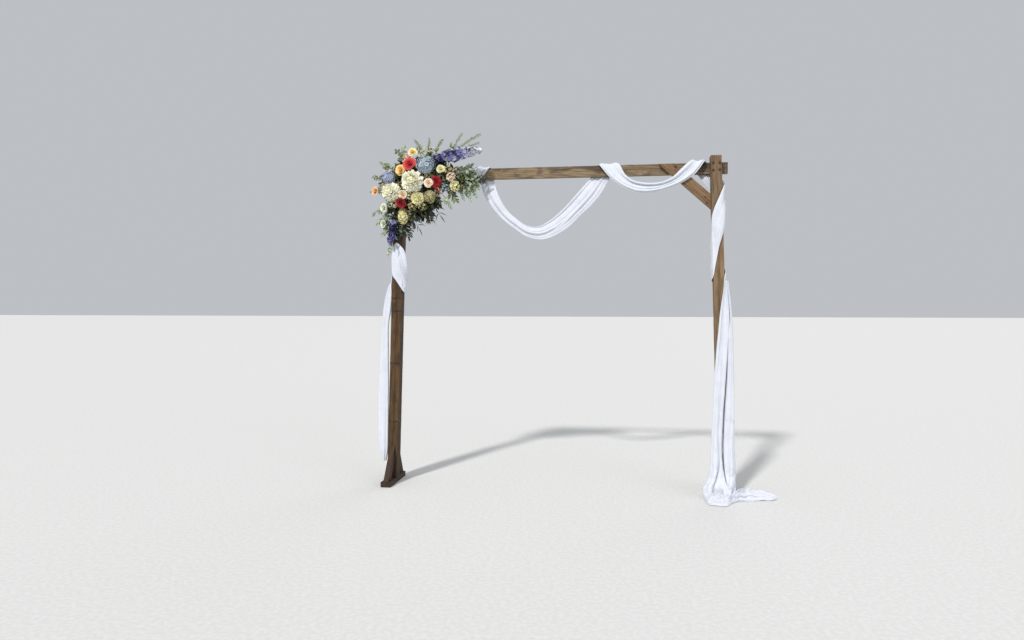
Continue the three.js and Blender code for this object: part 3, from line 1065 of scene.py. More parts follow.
@dataclass(frozen=True)
class Strip:
    """A long strip of cloth, its hems tucked behind, in soft lengthwise folds."""

    stations: tuple[Station, ...]
    timbers: tuple[Timber, ...]
    folds: tuple[float, ...]
    depth: float
    seed: float
    cut_width: float
    step: float = 0.008
    points_across: int = 110

    def section(self, count: int) -> tuple[Array, Array, Array]:
        """Lays out the roll's cross-section.

        Args:
            count: How many points it has.

        Returns:
            Each point's place across, from 0 to 1, its height, from -1 to 1, and
            its share of the cut width.
        """
        cut = np.linspace(0, 1, count)
        angle = math.pi * (-0.62 + 2.24 * cut)
        inward = 1 - 0.16 * np.clip((0.14 - np.minimum(cut, 1 - cut)) / 0.14, 0, 1)
        across = 0.5 - 0.5 * np.sign(np.cos(angle)) * np.abs(np.cos(angle)) ** 0.86
        across = 0.5 + (across - 0.5) * inward
        height = np.sign(np.sin(angle)) * np.abs(np.sin(angle)) ** 0.66 * inward
        return across, height, cut

    def relief(self, across: Array, travelled: Array, way: float) -> Array:
        """Works out the soft folds' height on one side of the roll.

        Args:
            across: Places across the roll, as rows and columns.
            travelled: The way along the strip, as rows and columns.
            way: Tells the front from the back.

        Returns:
            The relief, from about -1 to 1.
        """
        total = np.zeros_like(across)
        for k, place in enumerate(self.folds):
            turn = self.seed + 1.7 * k + 3.1 * way
            sway = 0.110 * np.sin(travelled * 2.0 + turn) + 0.024 * np.sin(travelled * 5.9 + 2.2 * turn)
            strength = 0.70 + 0.30 * np.sin(travelled * (2.7 + 0.7 * k) + 2.9 * turn)
            gap = across - place - sway
            groove = np.exp(-((gap / 0.042) ** 2))
            step = 0.5 + 0.5 * np.tanh(gap / 0.050)
            fade = np.exp(-np.abs(gap) / 0.14)
            total += strength * ((step - 0.5) * 1.3 * fade - 0.85 * groove)
        broad = 0.6 * np.sin(across * 9.5 + 1.1 * np.sin(travelled * 1.9 + self.seed) + self.seed + 2 * way)
        return total + broad

    def surface(self, start: float, end: float) -> tuple[Array, Array]:
        """Works out the cloth between two stations.

        Args:
            start: The first station's number.
            end: The last station's number.

        Returns:
            The places, and for each its cloth coordinates and how deep in a crease it is, which sets the
            painted crease shade.
        """
        edges_a = [s.a for s in self.stations]
        edges_b = [s.b for s in self.stations]
        outs = [s.out for s in self.stations]
        extra = [(s.front, s.back, *s.creases[0], *s.creases[1], s.pleat) for s in self.stations]
        whole = np.linspace(0, len(self.stations) - 1, 24 * len(self.stations))
        lengths = travel((along_curve(edges_a, whole) + along_curve(edges_b, whole)) / 2)
        first, last = np.interp([start, end], whole, lengths)
        rows = max(3, int(round((last - first) / self.step)) + 1)
        travelled = np.linspace(first, last, rows)
        shares = np.interp(travelled, lengths, whole)
        shares[0], shares[-1] = start, end
        a, b = along_curve(edges_a, shares), along_curve(edges_b, shares)
        out = along_curve(outs, shares)
        out /= np.linalg.norm(out, axis=1)[:, None]
        front, back, *creases, pleat = along_curve(extra, shares).T

        across, height, cut = self.section(self.points_across)
        way, place = np.meshgrid(travelled, across, indexing="ij")
        high = np.broadcast_to(height, way.shape)
        rise = np.where(high > 0, high * front[:, None], high * back[:, None])
        inner = np.clip(np.sin(np.pi * place) * 2.2, 0, 1)
        facing = np.clip(high * 1.6, -1, 1)
        folds = np.where(high > 0, self.relief(place, way, 0.0), self.relief(place, way, 1.0))
        rise = rise + self.depth * pleat[:, None] * folds * inner * facing
        # how deep each point lies in a crease, which the material turns into painted shade
        sunk = np.zeros_like(place)
        for crease_at, depth in (creases[:2], creases[2:]):
            notch = np.exp(-(((place - crease_at[:, None]) / 0.034) ** 2)) * np.clip(high * 2, 0, 1)
            rise = rise - notch * depth[:, None]
            sunk = np.maximum(sunk, notch * depth[:, None] / 0.03)
        places = a[:, None, :] + (b - a)[:, None, :] * place[..., None]
        places = places + out[:, None, :] * rise[..., None]
        crush = ripple(places, 12.0, self.seed) * 0.0030 + ripple(places, 30.0, self.seed + 3) * 0.0005
        heaped = np.clip(pleat[:, None] - 1.8, 0, 1.2)
        crush = (crush - crumple(places, self.seed) * 0.0074 * heaped) * pleat[:, None]
        places = places + out[:, None, :] * crush[..., None]
        places = clear_of(places, self.timbers, 0.0022 + 0.0034 * np.clip(2 * high, 0, 1))
        weave = np.stack([way, np.broadcast_to(cut, way.shape) * self.cut_width, sunk], axis=-1)
        return places, weave

    def length(self, start: float, end: float) -> float:
        """Measures the strip's middle line between two stations.

        Args:
            start: The first station's number.
            end: The last station's number.

        Returns:
            The length in metres.
        """
        shares = np.linspace(start, end, 200)
        edge_a = along_curve([s.a for s in self.stations], shares)
        edge_b = along_curve([s.b for s in self.stations], shares)
        return float(travel((edge_a + edge_b) / 2)[-1])


@dataclass(frozen=True)
class StripPart:
    """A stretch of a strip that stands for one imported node.

    The cut width is what shows of the cloth's width there: most of it is folded
    away inside the roll, and more of it shows where the roll is spread out.
    """

    name: str
    node: str
    start: float
    end: float
    held: str
    rests_on: tuple[str, ...]
    cut_width: float | None = None


def build_strip(strip: Strip, parts: Iterable[StripPart], cloth: Material) -> None:
    """Builds the parts of a strip; neighbours share their border's points.

    Args:
        strip: The whole strip.
        parts: Its stretches.
        cloth: The finish.
    """
    for part in parts:
        places, weave = strip.surface(part.start, part.end)
        shape = Shape()
        shape.sheet(places, weave=weave)
        piece = shape.make(part.name, cloth)
        length = round(strip.length(part.start, part.end), 3)
        hand_in(piece, "drape", part.node)


def paired(
    edge_a: Sequence[Flat],
    edge_b: Sequence[Flat],
    depths: Sequence[Flat],
    out: Vec,
    count: int,
    rolls: tuple[float, float],
    pleat: float = 1.0,
) -> list[Station]:
    """Makes stations between two edges drawn in the XZ plane.

    Args:
        edge_a: The first edge's line.
        edge_b: The second edge's line.
        depths: The Y of both edges at places spread evenly along the lines.
        out: The direction away from what carries the cloth.
        count: How many stations.
        rolls: How far the roll stands out in front and behind.
        pleat: How deep the folds are, against the strip's own depth.

    Returns:
        The stations in order.
    """
    a, b = evenly(edge_a, count), evenly(edge_b, count)
    y = along_curve(depths, np.linspace(0, len(depths) - 1, count))
    made = []
    for k in range(count):
        share = math.sin(math.pi * k / (count - 1)) ** 0.5
        front, back = (0.006 + (value - 0.006) * share for value in rolls)
        ends = (a[k, 0], y[k, 0], a[k, 1]), (b[k, 0], y[k, 1], b[k, 1])
        made.append(Station(*ends, out, front, back, FLAT_CLOTH, 1 + (pleat - 1) * share))
    return made


@dataclass
class LongDrape:
    """The long strip over the beam, round the right post and down to the ground."""

    cut_width: float = 0.28
    train_width: float = 0.56
    tail_width: float = 0.125
    swag_stations: int = 13
    small_stations: int = 9
    swag_top: tuple[Flat, ...] = (
        (-0.437, 2.307), (-0.421, 2.247), (-0.375, 2.147), (-0.320, 2.069), (-0.246, 2.007),
        (-0.170, 1.962), (-0.100, 1.958), (0.0, 2.010), (0.087, 2.085), (0.174, 2.178), (0.286, 2.307),
    )
    swag_bottom: tuple[Flat, ...] = (
        (-0.546, 2.307), (-0.518, 2.211), (-0.421, 2.063), (-0.352, 1.996), (-0.240, 1.913),
        (-0.139, 1.858), (-0.040, 1.861), (0.088, 1.912), (0.174, 1.988), (0.346, 2.157), (0.432, 2.307),
    )
    swag_depths: tuple[Flat, ...] = (
        (0.074, 0.076), (0.052, 0.058), *[(0.054, 0.064)] * 5, (0.052, 0.058), (0.072, 0.074),
    )
    small_top: tuple[Flat, ...] = (
        (0.514, 2.392), (0.556, 2.318), (0.620, 2.276), (0.736, 2.258),
        (0.851, 2.277), (0.924, 2.330), (0.972, 2.384), (1.002, 2.404),
    )
    small_bottom: tuple[Flat, ...] = (
        (0.366, 2.392), (0.421, 2.320), (0.537, 2.228), (0.670, 2.184),
        (0.819, 2.204), (0.948, 2.250), (1.070, 2.334), (1.112, 2.402),
    )
    small_depths: tuple[Flat, ...] = (
        (0.010, 0.010), (-0.006, -0.004), (-0.012, -0.006),
        (-0.012, -0.006), (-0.008, -0.006), (-0.002, -0.002),
    )
    winding: tuple[Row, ...] = (
        ((1.238, 0.084, 2.306), (1.088, 0.062, 2.296), ALONG_Y, 0.012, 1.3),
        ((1.262, 0.058, 2.256), (1.156, 0.052, 2.206), ALONG_Y, 0.009, 1.3),
        ((1.264, 0.050, 2.240), (1.232, 0.062, 2.130), (0.7, 0.7, 0.0), 0.008, 0.7),
        ((1.252, -0.010, 2.232), (1.258, 0.030, 2.080), (1.0, 0.1, 0.0), 0.008, 0.6),
        ((1.236, -0.052, 2.198), (1.260, -0.014, 2.030), (0.8, -0.6, 0.0), 0.008, 0.5),
        ((1.206, -0.056, 2.128), (1.256, -0.046, 1.980), (0.3, -1.0, 0.0), 0.014, 0.45),
        ((1.180, -0.056, 2.066), (1.248, -0.052, 1.916), TO_FRONT, 0.016, 0.45),
        ((1.162, -0.054, 2.000), (1.234, -0.054, 1.852), TO_FRONT, 0.016, 0.45),
        ((1.160, -0.042, 1.934), (1.216, -0.054, 1.790), (-0.2, -1.0, 0.0), 0.012, 0.5),
        ((1.164, -0.014, 1.880), (1.201, -0.054, 1.716), (-0.6, -0.8, 0.0), 0.008, 0.5),
        ((1.166, 0.024, 1.834), (1.188, -0.052, 1.640), (-0.9, -0.5, 0.0), 0.007, 0.6),
        ((1.166, 0.052, 1.792), (1.177, -0.044, 1.574), (-1.0, -0.1, 0.0), 0.005, 0.6),
        ((1.178, 0.062, 1.744), (1.171, 0.010, 1.546), (-0.7, 0.7, 0.0), 0.006, 0.6),
        ((1.224, 0.062, 1.690), (1.192, 0.060, 1.528), ALONG_Y, 0.008, 0.6),
        ((1.262, 0.046, 1.640), (1.248, 0.058, 1.502), (0.7, 0.7, 0.0), 0.008, 0.6),
        ((1.264, -0.006, 1.604), (1.266, 0.016, 1.476), (1.0, 0.0, 0.0), 0.008, 0.7),
        ((1.254, -0.056, 1.578), (1.274, -0.034, 1.450), (0.8, -0.6, 0.0), 0.008, 0.8),
    )
    drop: tuple[tuple[float, ...], ...] = (
        # level, left edge's x and y, right edge's x and y, bulge, each crease's x and depth
        (1.540, 1.246, -0.080, 1.275, -0.070, 0.010, 1.266, 0.000, 1.262, 0.000),
        (1.470, 1.241, -0.084, 1.284, -0.078, 0.012, 1.270, 0.002, 1.262, 0.000),
        (1.385, 1.228, -0.086, 1.294, -0.082, 0.014, 1.280, 0.006, 1.258, 0.000),
        (1.290, 1.216, -0.088, 1.302, -0.086, 0.016, 1.287, 0.012, 1.250, 0.000),
        (1.169, 1.206, -0.088, 1.310, -0.088, 0.018, 1.278, 0.010, 1.242, 0.000),
        (1.033, 1.194, -0.088, 1.313, -0.088, 0.018, 1.273, 0.018, 1.236, 0.004),
        (0.850, 1.182, -0.088, 1.318, -0.088, 0.018, 1.266, 0.028, 1.230, 0.008),
        (0.621, 1.172, -0.088, 1.321, -0.088, 0.018, 1.253, 0.032, 1.223, 0.010),
        (0.420, 1.164, -0.092, 1.325, -0.090, 0.020, 1.244, 0.040, 1.212, 0.010),
        (0.290, 1.158, -0.100, 1.328, -0.096, 0.024, 1.243, 0.040, 1.220, 0.016),
        (0.190, 1.150, -0.112, 1.330, -0.108, 0.034, 1.250, 0.028, 1.208, 0.020),
        (0.120, 1.131, -0.132, 1.330, -0.122, 0.048, 1.258, 0.020, 1.188, 0.018),
        (0.066, 1.096, -0.160, 1.330, -0.132, 0.054, 1.262, 0.010, 1.170, 0.016),
    )
    train: tuple[tuple[float, ...], ...] = (
        # front edge's x and y, back edge's x and y, thickness, relief, creases' depth
        (1.108, -0.200, 1.336, -0.130, 0.050, 3.2, 0.000),
        (1.118, -0.272, 1.352, -0.110, 0.048, 3.1, 0.000),
        (1.152, -0.330, 1.372, -0.084, 0.050, 3.0, 0.000),
        (1.216, -0.342, 1.392, -0.050, 0.053, 2.9, 0.008),
        (1.288, -0.268, 1.416, -0.016, 0.054, 2.8, 0.013),
        (1.354, -0.212, 1.446, -0.004, 0.050, 2.6, 0.015),
        (1.440, -0.190, 1.494, -0.020, 0.037, 2.4, 0.014),
        (1.515, -0.176, 1.542, -0.046, 0.028, 2.1, 0.010),
        (1.572, -0.164, 1.586, -0.076, 0.020, 1.7, 0.006),
        (1.608, -0.132, 1.612, -0.104, 0.009, 1.0, 0.000),
    )
    tail: tuple[Vec, ...] = (
        # level, left edge's x, right edge's x
        (1.480, 1.268, 1.279), (1.400, 1.276, 1.290), (1.270, 1.287, 1.301), (1.100, 1.284, 1.309),
        (0.900, 1.276, 1.314), (0.720, 1.266, 1.318), (0.600, 1.261, 1.320), (0.549, 1.260, 1.321),
    )

    def beam_stations(self) -> tuple[list[Station], dict[str, int]]:
        """Lays the strip over and behind the beam.

        Returns:
            The stations, and the number at which each stretch begins.
        """
        front_edge, back_edge = (0.0, -0.7, 0.7), (0.0, 0.7, 0.7)
        stations = [
            Station((-0.543, 0.036, 2.310), (-0.655, 0.034, 2.312), TO_FRONT, 0.012),
            Station((-0.502, 0.036, 2.365), (-0.628, 0.034, 2.365), TO_FRONT, 0.011),
            Station((-0.468, 0.036, 2.406), (-0.598, 0.036, 2.406), front_edge, 0.008),
            Station((-0.461, 0.062, 2.409), (-0.592, 0.062, 2.409), ALONG_Z, 0.009),
            Station((-0.457, 0.088, 2.404), (-0.586, 0.088, 2.404), back_edge, 0.008),
            Station((-0.449, 0.090, 2.360), (-0.570, 0.090, 2.360), ALONG_Y, 0.010),
        ]
        marks = {"left_wrap": 0, "swag": len(stations)}
        stations += paired(
            self.swag_top, self.swag_bottom, self.swag_depths, ALONG_Y, self.swag_stations,
            (0.016, 0.022), 1.7,
        )
        marks["middle_wrap"] = len(stations) - 1
        stations += [
            Station((0.318, 0.090, 2.360), (0.468, 0.090, 2.360), ALONG_Y, 0.010),
            Station((0.346, 0.088, 2.405), (0.494, 0.088, 2.405), back_edge, 0.008),
            Station((0.350, 0.058, 2.409), (0.500, 0.058, 2.409), ALONG_Z, 0.009),
            Station((0.354, 0.026, 2.404), (0.504, 0.026, 2.406), front_edge, 0.008),
        ]
        marks["small_swag"] = len(stations) - 1
        stations += paired(
            self.small_bottom, self.small_top, self.small_depths, TO_FRONT, self.small_stations,
            (0.018, 0.010), 1.5,
        )
        marks["right_wrap"] = len(stations) - 1
        stations += [
            Station((1.124, 0.022, 2.410), (1.011, 0.022, 2.410), (0.0, -0.4, 0.9), 0.008),
            Station((1.130, 0.062, 2.411), (1.020, 0.062, 2.411), ALONG_Z, 0.009),
            Station((1.160, 0.092, 2.404), (1.036, 0.090, 2.404), back_edge, 0.010),
            Station((1.196, 0.096, 2.364), (1.056, 0.092, 2.358), ALONG_Y, 0.013),
        ]
        marks["back_drape"] = len(stations) - 1
        return stations, marks

    def post_stations(self) -> tuple[list[Station], dict[str, int]]:
        """Winds the strip once round the right post and lets it hang.

        Returns:
            The stations, and the number at which each stretch begins.
        """
        stations = stations_from(self.winding)
        stations[-1] = replace(stations[-1], back=0.004)
        marks = {"post_wrap": 2, "lower_drape": len(stations) - 1}
        for z, left, left_y, right, right_y, bulge, *deep in self.drop:
            wide = right - left
            creases = ((deep[0] - left) / wide, deep[1]), ((deep[2] - left) / wide, deep[3])
            pleat = 1.2 + 1.3 * min(1.0, max(0.0, (0.6 - z) / 0.6))
            out = (0.0, -1.0, 0.08 if z > 0.1 else 0.45)
            ends = (left, left_y, z), (right, right_y, z)
            stations.append(Station(*ends, out, bulge, 0.010, creases, pleat))
        marks["train"] = len(stations) - 1
        for k, (front_x, front_y, back_x, back_y, thick, pleat, crease) in enumerate(self.train):
            out = (0.0, -0.5 + 0.1 * min(k, 5), 0.8)
            ends = (front_x, front_y, 0.005), (back_x, back_y, 0.005)
            creases = (0.07 + 0.012 * k, crease), (0.33 - 0.008 * k, crease)
            stations.append(Station(*ends, out, thick, OFF_GROUND, creases, pleat))
        marks["end"] = len(stations) - 1
        return stations, marks

    def build(self) -> None:
        """Builds every stretch of the long strip."""
        cloth = dress(CHIFFON)
        over, marks = self.beam_stations()
        down, marks_down = self.post_stations()
        marks |= {mark: len(over) + number for mark, number in marks_down.items()}
        timbers = (Timber.BEAM, Timber.RIGHT_POST, Timber.FOOT_BRACE, Timber.GROUND)
        strip = Strip(tuple(over + down), timbers, (0.16, 0.36, 0.58, 0.80), 0.0068, 0.7, self.cut_width)
        beam, post, foot = ("top_beam",), ("right_post_outer_board",), ("right_foot",)
        parts: list[StripPart] = []
        for name, node, first, last, held, rests_on, width in (
            ("beam_left", "beam_left_wrap", "left_wrap", "swag", "draped", beam, None),
            ("large_swag", "large_swag", "swag", "middle_wrap", "draped", beam, None),
            ("beam_middle", "beam_middle_wrap", "middle_wrap", "small_swag", "draped", beam, None),
            ("small_swag", "small_swag", "small_swag", "right_wrap", "draped", beam, None),
            ("beam_right", "beam_right_wrap", "right_wrap", "back_drape", "draped", beam, None),
            ("behind_post", "right_back_drape", "back_drape", "post_wrap", "draped", beam, None),
            ("round_post", "right_post_wrap", "post_wrap", "lower_drape", "draped", post, None),
            ("drop", "right_lower_drape", "lower_drape", "train", "hung", post, None),
            ("train", "drape_pool", "train", "end", "laid", foot, self.train_width),
        ):
            stretch = (marks[first], marks[last])
            parts.append(StripPart(f"chiffon_{name}", node, *stretch, held, rests_on, width))
        build_strip(strip, parts, cloth)
        self.build_tail(cloth)

    def build_tail(self, cloth: Material) -> None:
        """Builds the strip's folded-over end, which hangs down before the long drop.

        Args:
            cloth: The finish.
        """
        stations = [
            Station((left, -0.102, z), (right, -0.098, z), TO_FRONT, 0.009, 0.002, pleat=0.6)
            for z, left, right in self.tail[:-1]
        ]
        z, left, right = self.tail[-1]
        stations.append(Station((left, -0.106, z), (right, -0.102, z), TO_FRONT, 0.0035, 0.001))
        strip = Strip(tuple(stations), (), (0.30, 0.70), 0.0045, 4.4, self.tail_width, points_across=60)
        last = len(stations) - 1
        part = StripPart("chiffon_tail", "right_lower_drape", 0, last, "hung", ("chiffon_drop",))
        build_strip(strip, (part,), cloth)


@dataclass
class LeftPostDrape:
    """The short strip gathered at the left post, wound once round it and left to hang."""

    cut_width: float = 0.24
    winding: tuple[Row, ...] = (
        ((-1.164, -0.050, 1.842), (-1.184, -0.050, 1.838), TO_FRONT, 0.008, 1.2),
        ((-1.140, -0.052, 1.818), (-1.204, -0.050, 1.796), TO_FRONT, 0.014, 1.3),
        ((-1.112, -0.052, 1.782), (-1.211, -0.050, 1.736), TO_FRONT, 0.020, 1.2),
        ((-1.096, -0.046, 1.732), (-1.211, -0.051, 1.664), (0.1, -1.0, 0.0), 0.022, 1.0),
        ((-1.091, -0.032, 1.676), (-1.206, -0.052, 1.594), (0.3, -1.0, 0.0), 0.022, 0.9),
        ((-1.091, -0.010, 1.630), (-1.176, -0.053, 1.550), (0.6, -0.8, 0.0), 0.018, 0.8),
        ((-1.093, 0.016, 1.594), (-1.144, -0.053, 1.504), (0.9, -0.5, 0.0), 0.012, 0.8),
        ((-1.099, 0.044, 1.574), (-1.118, -0.046, 1.466), (1.0, -0.1, 0.0), 0.006, 0.7),
        ((-1.120, 0.058, 1.570), (-1.106, 0.000, 1.462), (0.9, 0.5, 0.0), 0.005, 0.7),
        ((-1.156, 0.058, 1.582), (-1.134, 0.054, 1.486), (0.1, 1.0, 0.0), 0.006, 0.7),
        ((-1.200, 0.055, 1.598), (-1.186, 0.056, 1.500), (-0.1, 1.0, 0.0), 0.006, 0.7),
        ((-1.224, 0.034, 1.604), (-1.222, 0.042, 1.500), (-0.8, 0.6, 0.0), 0.006, 0.7),
        ((-1.224, -0.006, 1.584), (-1.228, 0.008, 1.480), (-1.0, 0.0, 0.0), 0.006, 0.7),
    )
    fall: tuple[tuple[float, ...], ...] = (
        # level, right edge's x and y, left edge's x and y
        (1.520, -1.219, -0.026, -1.242, -0.014), (1.440, -1.218, -0.026, -1.268, -0.020),
        (1.340, -1.226, -0.024, -1.286, -0.020), (1.200, -1.247, -0.022, -1.297, -0.020),
        (1.016, -1.248, -0.020, -1.309, -0.020), (0.816, -1.248, -0.020, -1.322, -0.020),
        (0.617, -1.249, -0.020, -1.330, -0.020), (0.416, -1.252, -0.020, -1.330, -0.020),
        (0.260, -1.256, -0.020, -1.320, -0.020), (0.165, -1.270, -0.020, -1.294, -0.020),
    )

    def build(self) -> None:
        """Builds the winding and the hanging length."""
        stations = stations_from(self.winding)
        for k, creases in ((1, TOP_CREASES), (2, LOW_CREASES)):
            stations[k] = replace(stations[k], creases=creases)
        turn = len(stations) - 1
        for z, right, right_y, left, left_y in self.fall:
            ends = (right, right_y, z), (left, left_y, z)
            stations.append(Station(*ends, (-0.2, -1.0, 0.0), 0.012, 0.010, pleat=0.7))
        strip = Strip(tuple(stations), (Timber.LEFT_POST,), (0.25, 0.52, 0.78), 0.0052, 2.9, self.cut_width)
        outer = ("left_post_outer_board",)
        parts = (
            StripPart("chiffon_left_wrap", "left_post_wrap", 0, turn, "gathered", outer),
            StripPart("chiffon_left_fall", "left_side_drape", turn, len(stations) - 1, "hung", outer),
        )
        build_strip(strip, parts, dress(CHIFFON))


@dataclass
class GroundPool:
    """The cloth heaped round the right foot, under the drop and its train."""

    outline: tuple[Flat, ...] = (
        (1.132, 0.056), (1.126, -0.058), (1.122, -0.130), (1.110, -0.200), (1.112, -0.270),
        (1.122, -0.338), (1.173, -0.357), (1.236, -0.364), (1.290, -0.272), (1.350, -0.215),
        (1.420, -0.150), (1.420, -0.050), (1.392, 0.030), (1.365, 0.100), (1.330, 0.146), (1.190, 0.146),
    )
    middle: Flat = (1.222, -0.110)
    height: float = 0.056
    folds: int = 17
    around: int = 320
    rings: int = 50
    gaps_at_post: Flat = (0.006, 0.0105)

    def build(self) -> None:
        """Builds the heap as a sheet of creased folds that run out from under the drop."""
        loop = evenly((*self.outline, self.outline[0]), self.around + 1)[:-1]
        centre = np.array(self.middle)
        share = np.linspace(0.0, 1.0, self.rings)[:, None]
        flat = centre + (loop - centre)[None, :, :] * share[..., None]
        angle = np.arctan2(loop[:, 1] - centre[1], loop[:, 0] - centre[0])[None, :]
        places = np.insert(flat, 2, 0.0, axis=-1)
        level = self.level(places, share, angle)
        places[..., 0] += 0.006 * self.rim(share) * ripple(places, 22.0, 3.3)
        places[..., 2] = level
        spots = (places[:-1] + np.roll(places[1:], -1, axis=1)) / 2
        across_post, before_post = self.gaps_at_post
        in_post = np.abs(spots[..., 0] - RIGHT_BASE) < POST_HALF_WIDTH + across_post
        in_post &= spots[..., 1] > -POST_HALF_DEPTH - before_post
        shape = Shape()
        weave = np.insert(places[..., :2], 2, 0.0, axis=-1)
        shape.sheet(places, weave=weave, around=True, holes=in_post)
        piece = shape.make("chiffon_pool", dress(CHIFFON))
        self.trim(piece)
        hand_in(piece, "drape", "drape_pool")

    def rim(self, share: Array) -> Array:
        """Lets the folds die out towards the heap's edge, from 1 to 0."""
        return np.clip((1 - share) / 0.16, 0, 1) ** 0.6

    def level(self, places: Array, share: Array, angle: Array) -> Array:
        """Works out the heap's height, over the foot board where that lies under it.

        Args:
            places: Places on the ground, as rings from the middle outwards.
            share: Each ring's share of the way out.
            angle: Each place's direction from the middle.

        Returns:
            The height of each place.
        """
        x, y, rim = places[..., 0], places[..., 1], self.rim(share)
        bend = 1.1 * ripple(places, 5.0, 1.7) + 0.5 * ripple(places, 13.0, 5.2)
        ridge = 1 - np.abs(np.sin(self.folds / 2 * angle + 1.6 * bend + 1.4 * share))
        cross = 1 - np.abs(np.sin(30 * (y - 0.4 * x) + 3.4 * bend))
        lumps = 0.7 + 0.6 * ripple(places, 8.0, 9.1)
        level = self.height * (1 - share) ** 1.1 + 0.012 * rim + 0.0030
        level = level + rim * (0.003 + 0.032 * ridge**1.5 + 0.016 * cross**2 * share) * lumps
        level = np.maximum(level - 0.012 * rim * crumple(places, 2.6), 0.0022 + 0.0012 * rim)
        off_board = np.maximum(np.abs(x - RIGHT_BASE) - POST_HALF_WIDTH, np.abs(y + 0.05) - 0.15)
        over_foot = np.clip((0.062 - off_board) / 0.062, 0, 1)
        return np.maximum(level, over_foot**1.5 * (FOOT_THICK + 0.003 + 0.007 * ridge))

    def trim(self, piece: Piece) -> None:
        """Joins the points at the middle and removes points that no face uses.

        Args:
            piece: The heap's object.
        """
        mesh = bmesh.new()
        mesh.from_mesh(piece.data)
        bmesh.ops.remove_doubles(mesh, verts=mesh.verts, dist=0.0004)
        loose = [v for v in mesh.verts if not v.link_faces]
        bmesh.ops.delete(mesh, geom=loose, context="VERTS")
        for face in mesh.faces:
            face.smooth = True
        mesh.to_mesh(piece.data)
        mesh.free()


# Flowers and leaves

GOLDEN_TURN = math.pi * (3 - math.sqrt(5))


def mixed(first: Sequence[float], second: Sequence[float], share: float | Array) -> Array:
    """Mixes two colours by a share, or by an array of shares."""
    part = np.clip(np.asarray(share, dtype=float), 0, 1)[..., None]
    return np.asarray(first) * (1 - part) + np.asarray(second) * part


def over_ball(count: int, drop: float = 2.0) -> list[Array]:
    """Spreads directions evenly over a ball, in a spiral from its top.

    Args:
        count: How many there are.
        drop: How far down they go, in radii.

    Returns:
        The directions.
    """
    ways: list[Array] = []
    for k in range(count):
        height = 1 - drop * (k + 0.5) / count
        ring, angle = math.sqrt(1 - height * height), k * GOLDEN_TURN
        ways.append(np.array([ring * math.cos(angle), ring * math.sin(angle), height]))
    return ways


@dataclass(frozen=True)
class Stand:
    """Where a bloom sits, which way it faces and how far it is turned."""

    place: Vec
    facing: Vec
    spin: float = 0.0

    def carry(self, points: Array) -> Array:
        """Carries points from the bloom's own frame, with Z as its axis, to its place.

        Args:
            points: Places in the bloom's own frame.

        Returns:
            The same places on the arch.
        """
        turn = Vector(ALONG_Z).rotation_difference(Vector(self.facing)).to_matrix()
        turn = turn @ Matrix.Rotation(self.spin, 3, "Z")
        return points @ np.array(turn).T + np.array(self.place)


class Bloom:
    """A kind of flower that can be added to a shape."""

    def add_to(self, shape: Shape, stand: Stand, seed: int) -> None:
        """Adds one flower of this kind."""
        raise NotImplementedError


